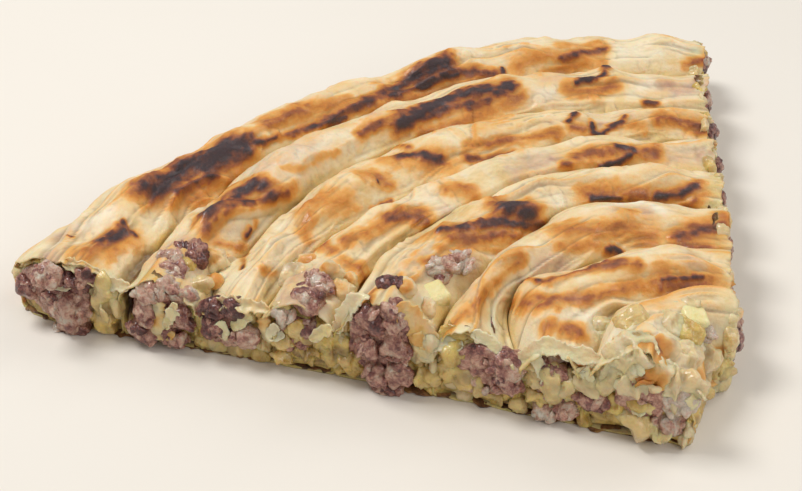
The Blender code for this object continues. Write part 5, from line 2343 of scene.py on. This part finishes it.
@dataclass(frozen=True)
class Ground:
    """The seeded lumps of one roll at one cut, which are drawn in the order of the methods.

    Attributes:
        plan: the coil.
        roll: the roll's number.
        cut: which cut.
        depth: how far out past the cut they lie, which is below 0.
        draw: random numbers.
    """

    plan: CoilPlan
    roll: int
    cut: Cut
    depth: float
    draw: np.random.RandomState

    @property
    def place(self) -> np.ndarray:
        """The cut's place along the rolls, 0 or 1, as a column."""
        return np.array([[float(self.cut.value)]])

    def edge(self, meat: Meat, turn: float) -> tuple[float, float]:
        """Radius and height of the filling's outline in one direction from its middle."""
        radius, level = meat.outline(self.place, np.array([[turn]]))
        return float(radius), float(level)

    def mince(self) -> list[Spot]:
        """Mince inside the filling's outline, at a random share of the way from its middle.

        Returns:
            The lumps' spots.
        """
        meat = Meat(self.plan, self.roll)
        radius, level = (float(value) for value in meat.centre(self.place))
        spots = []
        for number in range(5 if self.cut is Cut.RIGHT else 2):
            turn, share = self.draw.uniform(0, 2 * math.pi), self.draw.uniform(0.2, 0.8)
            edge_radius, edge_level = self.edge(meat, turn)
            at = (radius + share * (edge_radius - radius), level + share * (edge_level - level))
            size = tuple(self.draw.uniform(0.005, 0.010) for _ in range(3))
            lump = Lump("mince", MINCE, (0, 0), size, self.draw.uniform(0.2, 0.75))
            spots.append(Spot(lump, *at, self.depth, 9000 + 900 * self.roll + 60 * number))
        return spots

    def ring(self, count: int = 10, out: float = 0.0022) -> list[Spot]:
        """Dough on a ring between the filling's outline and the roll's walls.

        Args:
            count: how many lumps the ring has.
            out: how far it lies outside the filling's outline.

        Returns:
            The lumps' spots.
        """
        meat = Meat(self.plan, self.roll)
        outer, inner = (float(value) for value in self.plan.sides(self.roll, self.place))
        top = float(meat.crest(self.place))
        spots = []
        for number in range(count):
            turn = 2 * math.pi * (number + self.draw.uniform(-0.3, 0.3)) / count
            edge_radius, edge_level = self.edge(meat, turn)
            radius = float(np.clip(edge_radius + out * math.cos(turn), inner + 0.002, outer - 0.002))
            size = (self.draw.uniform(0.005, 0.008), self.draw.uniform(0.005, 0.010), 0.0045)
            crown = float(self.plan.crown(np.array(radius), self.place[0, 0])) - 0.55 * size[1]
            level = float(np.clip(edge_level + out * math.sin(turn), 0.0026, min(0.80 * top, crown)))
            # Painted shade: the range runs wetter and darker towards the outer rolls, so each cut's ground
            # darkens towards them.
            shade = self.draw.uniform(-0.80 + 0.07 * self.roll, 0.04 + 0.02 * self.roll)
            beyond = self.depth + self.draw.uniform(-0.0008, 0.0012)
            seed = 20000 + 900 * self.roll + 60 * number
            spots.append(Spot(Lump("dough", DOUGH, (0, 0), size, shade), radius, level, beyond, seed))
        return spots

    def seam(self) -> list[Spot]:
        """A short stack of dough at the roll's outer seam.

        The outer roll has none, and at the front cut neither has the second, where listed lumps lie.

        Returns:
            The lumps' spots.
        """
        outer = float(self.plan.sides(self.roll, self.place)[0])
        spots = []
        for number in range(3):
            size = (self.draw.uniform(0.004, 0.006), self.draw.uniform(0.005, 0.007), 0.004)
            lump = Lump("seam", DOUGH, (0, 0), size, self.draw.uniform(-0.6, 0.0))
            seed = 30000 + 900 * self.roll + 60 * number
            spots.append(Spot(lump, outer, 0.0028 + 0.0046 * number, self.depth + 0.0012, seed, False))
        return spots if self.roll > (1 if self.cut is Cut.RIGHT else 2) else []


@dataclass
class Burek:
    """The whole quarter: rolls, mince, loose stuff at the cuts, potato and base crust.

    Attributes:
        plan: the coil.
        view: the photograph's camera.
        finishes: the materials by name.
    """

    plan: CoilPlan
    view: PhotoCamera
    finishes: dict[str, bpy.types.Material]

    def place(self, piece: bpy.types.Object, slot: str, *nodes: str) -> None:
        """Lets a piece ride on the frame's only body and hides the solids that it stands for.

        Args:
            piece: the piece.
            slot: not used.
            nodes: the solids that it stands for, if any.
        """
        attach(piece, "root")
        if nodes:
            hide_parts(*nodes)

    def build_rolls(self) -> None:
        """The skin and the mince of every roll."""
        for roll in ROLLS:
            strokes = tuple(stroke for stroke in STROKES if stroke.roll == roll)
            skin = RollSkin(self.plan, self.view, roll, strokes).build()
            self.place(skin.make(f"skin_{roll}", self.finishes["dough"]), "dough", f"roll_{roll}")
            mince = Meat(self.plan, roll, view=self.view).build()
            self.place(mince.make(f"mince_{roll}", self.finishes["meat"]), "minced_meat", f"filling_{roll}")

    def middle(self, lump: Lump) -> np.ndarray:
        """Where a lump's middle lies: on its roll's top, or on the front cut and under the rolls' tops.

        Args:
            lump: the lump.

        Returns:
            The point.
        """
        if lump.roll:
            point = self.view.on_roll(self.plan, lump.roll, (lump.pixel,))[0]
            return point + np.array([0.0, 0.0, lump.proud])
        point = self.view.on_front_cut(self.plan, (lump.pixel,), lump.proud)[0]
        crown = self.plan.crown(self.plan.locate(point)[0], np.zeros(1))[0]
        point[2] = min(point[2], crown - 0.30 * lump.size[1])
        return point

    def build_front_scraps(self) -> None:
        """The listed lumps and flakes on the front cut and on the tops by it.

        Lumps on the cut face straight out of it, those on a top look up by a slope over the cut's direction,
        and the flakes look a little up too.
        """
        outward = self.plan.outward(Cut.FRONT)
        top_slope, flake_slope = 1.6, 0.7
        upward = (outward + np.array([0.0, 0.0, top_slope])) / math.hypot(1.0, top_slope)
        lump_maker, flake_maker = LumpMaker(), FlakeMaker(0.00045, 0.0005)
        shapes = {MINCE: [], DOUGH: []}
        for number, lump in enumerate(LUMPS):
            facing = upward if lump.roll else outward
            shapes[lump.stuff] += lump_maker.cluster(lump, self.middle(lump), facing, 1000 + 400 * number)
        facing = outward + np.array([0.0, 0.0, flake_slope])
        facing /= np.linalg.norm(facing)
        for number, flake in enumerate(FLAKES):
            path = self.view.on_front_cut(self.plan, flake.path)
            path[:, 2] = np.minimum(path[:, 2], self.plan.crown(self.plan.locate(path)[0], 0 * path[:, 0]))
            shapes[DOUGH].append(flake_maker.shape(flake, path, facing, 3000 + 10 * number))
        self.add_scraps("front", shapes)

    def in_hollow(self, cut: Cut, roll: int, point: np.ndarray) -> bool:
        """Whether a place lies in a hollow of the front cut."""
        return cut is Cut.FRONT and sunk(self.view, self.plan, roll, point[None])[0] > 0.35

    def add_scraps(self, where: str, shapes: dict[Stuff, list[Shape]]) -> None:
        """Makes one piece of the mince and one of the dough that lie loose at a cut.

        Args:
            where: what the pieces' names start with.
            shapes: the shapes of each stuff.
        """
        meat = Shape.joined(shapes[MINCE])
        self.place(meat.make(f"{where}_mince_lumps", self.finishes["meat"]), "minced_meat")
        dough = Shape.joined(shapes[DOUGH])
        self.place(dough.make(f"{where}_dough_scraps", self.finishes["dough"]), "dough")

    def build_filler(self, cut: Cut) -> None:
        """Seeded lumps that make a cut's ground: mince over each filling and dough round it and at the seams.

        On the front cut the ground lies a little deeper, behind the listed lumps.

        Args:
            cut: which cut.
        """
        outward, maker = self.plan.outward(cut), LumpMaker()
        depth = -0.0026 if cut is Cut.FRONT else -0.0006
        shapes = {MINCE: [], DOUGH: []}
        for roll in ROLLS:
            ground = Ground(self.plan, roll, cut, depth, np.random.RandomState(60 + roll + 20 * cut.value))
            for spot in ground.mince() + ground.ring() + ground.seam():
                centre = self.plan.space(spot.radius, spot.level, float(cut.value), spot.beyond)
                if not (spot.keeps_clear and self.in_hollow(cut, roll, centre - spot.beyond * outward)):
                    shapes[spot.lump.stuff] += maker.cluster(spot.lump, centre, outward, spot.seed)
        if cut is Cut.RIGHT:
            shapes[DOUGH] += self.corner_lumps(maker)
        self.add_scraps(f"{cut.name.lower()}_ground", shapes)

    def corner_lumps(self, maker: LumpMaker) -> list[Shape]:
        """Seeded dough over the last roll's inner wall, in columns that face the coil's middle.

        Args:
            maker: turns lumps into shapes.

        Returns:
            The shapes.
        """
        shapes = []
        draw = np.random.RandomState(77)
        for number in range(24):
            place = (number // 3 + 0.5) / 8
            angle = self.plan.front - self.plan.turn * place
            radius = float(self.plan.crease(len(ROLLS), np.array(place)))
            inwards = -np.array([math.cos(angle), math.sin(angle), 0.0])
            size = (draw.uniform(0.005, 0.008), draw.uniform(0.005, 0.007), 0.0035)
            lump = Lump("corner", DOUGH, (0, 0), size, draw.uniform(-0.5, 0.1))
            level = np.array(0.0030 + 0.0036 * (number % 3))
            centre = self.plan.space(np.array(radius + 0.0004), level, np.array(place), np.array(0.0))
            shapes += maker.cluster(lump, centre, inwards, 40000 + 60 * number)
        return shapes

    def build_trimmings(self) -> None:
        """The potato cubes and the base crust."""
        cubes = (
            PotatoCube("potato_1", 5, 0.1005, 10.5, 0.0240, (0.30, -0.15, 0.50)),
            PotatoCube("potato_2", 8, 0.0330, 56.0, 0.0245, (0.20, 0.25, 0.20)),
        )
        for cube in cubes:
            piece = cube.build(self.plan).make(f"{cube.node}_cube", self.finishes["potato"])
            self.place(piece, "potato", cube.node)
        for cut in Cut:
            crust = BaseCrust(self.plan).build(cut)
            self.place(crust.make(f"base_crust_{cut.name.lower()}", self.finishes["crust"]), "crust")


def main() -> None:
    """Builds the studio, the camera and the burek."""
    logging.basicConfig(level=logging.INFO, format="%(message)s")
    view = PhotoCamera()
    view.make()
    Studio().make()
    finishes = {
        "dough": DoughFinish().make(),
        "meat": MeatFinish().make(),
        "potato": PotatoFinish().make(),
        "crust": CrustFinish().make(),
    }
    burek = Burek(CoilPlan(), view, finishes)
    burek.build_rolls()
    burek.build_front_scraps()
    for cut in Cut:
        burek.build_filler(cut)
    burek.build_trimmings()


if __name__ == "__main__":
    main()
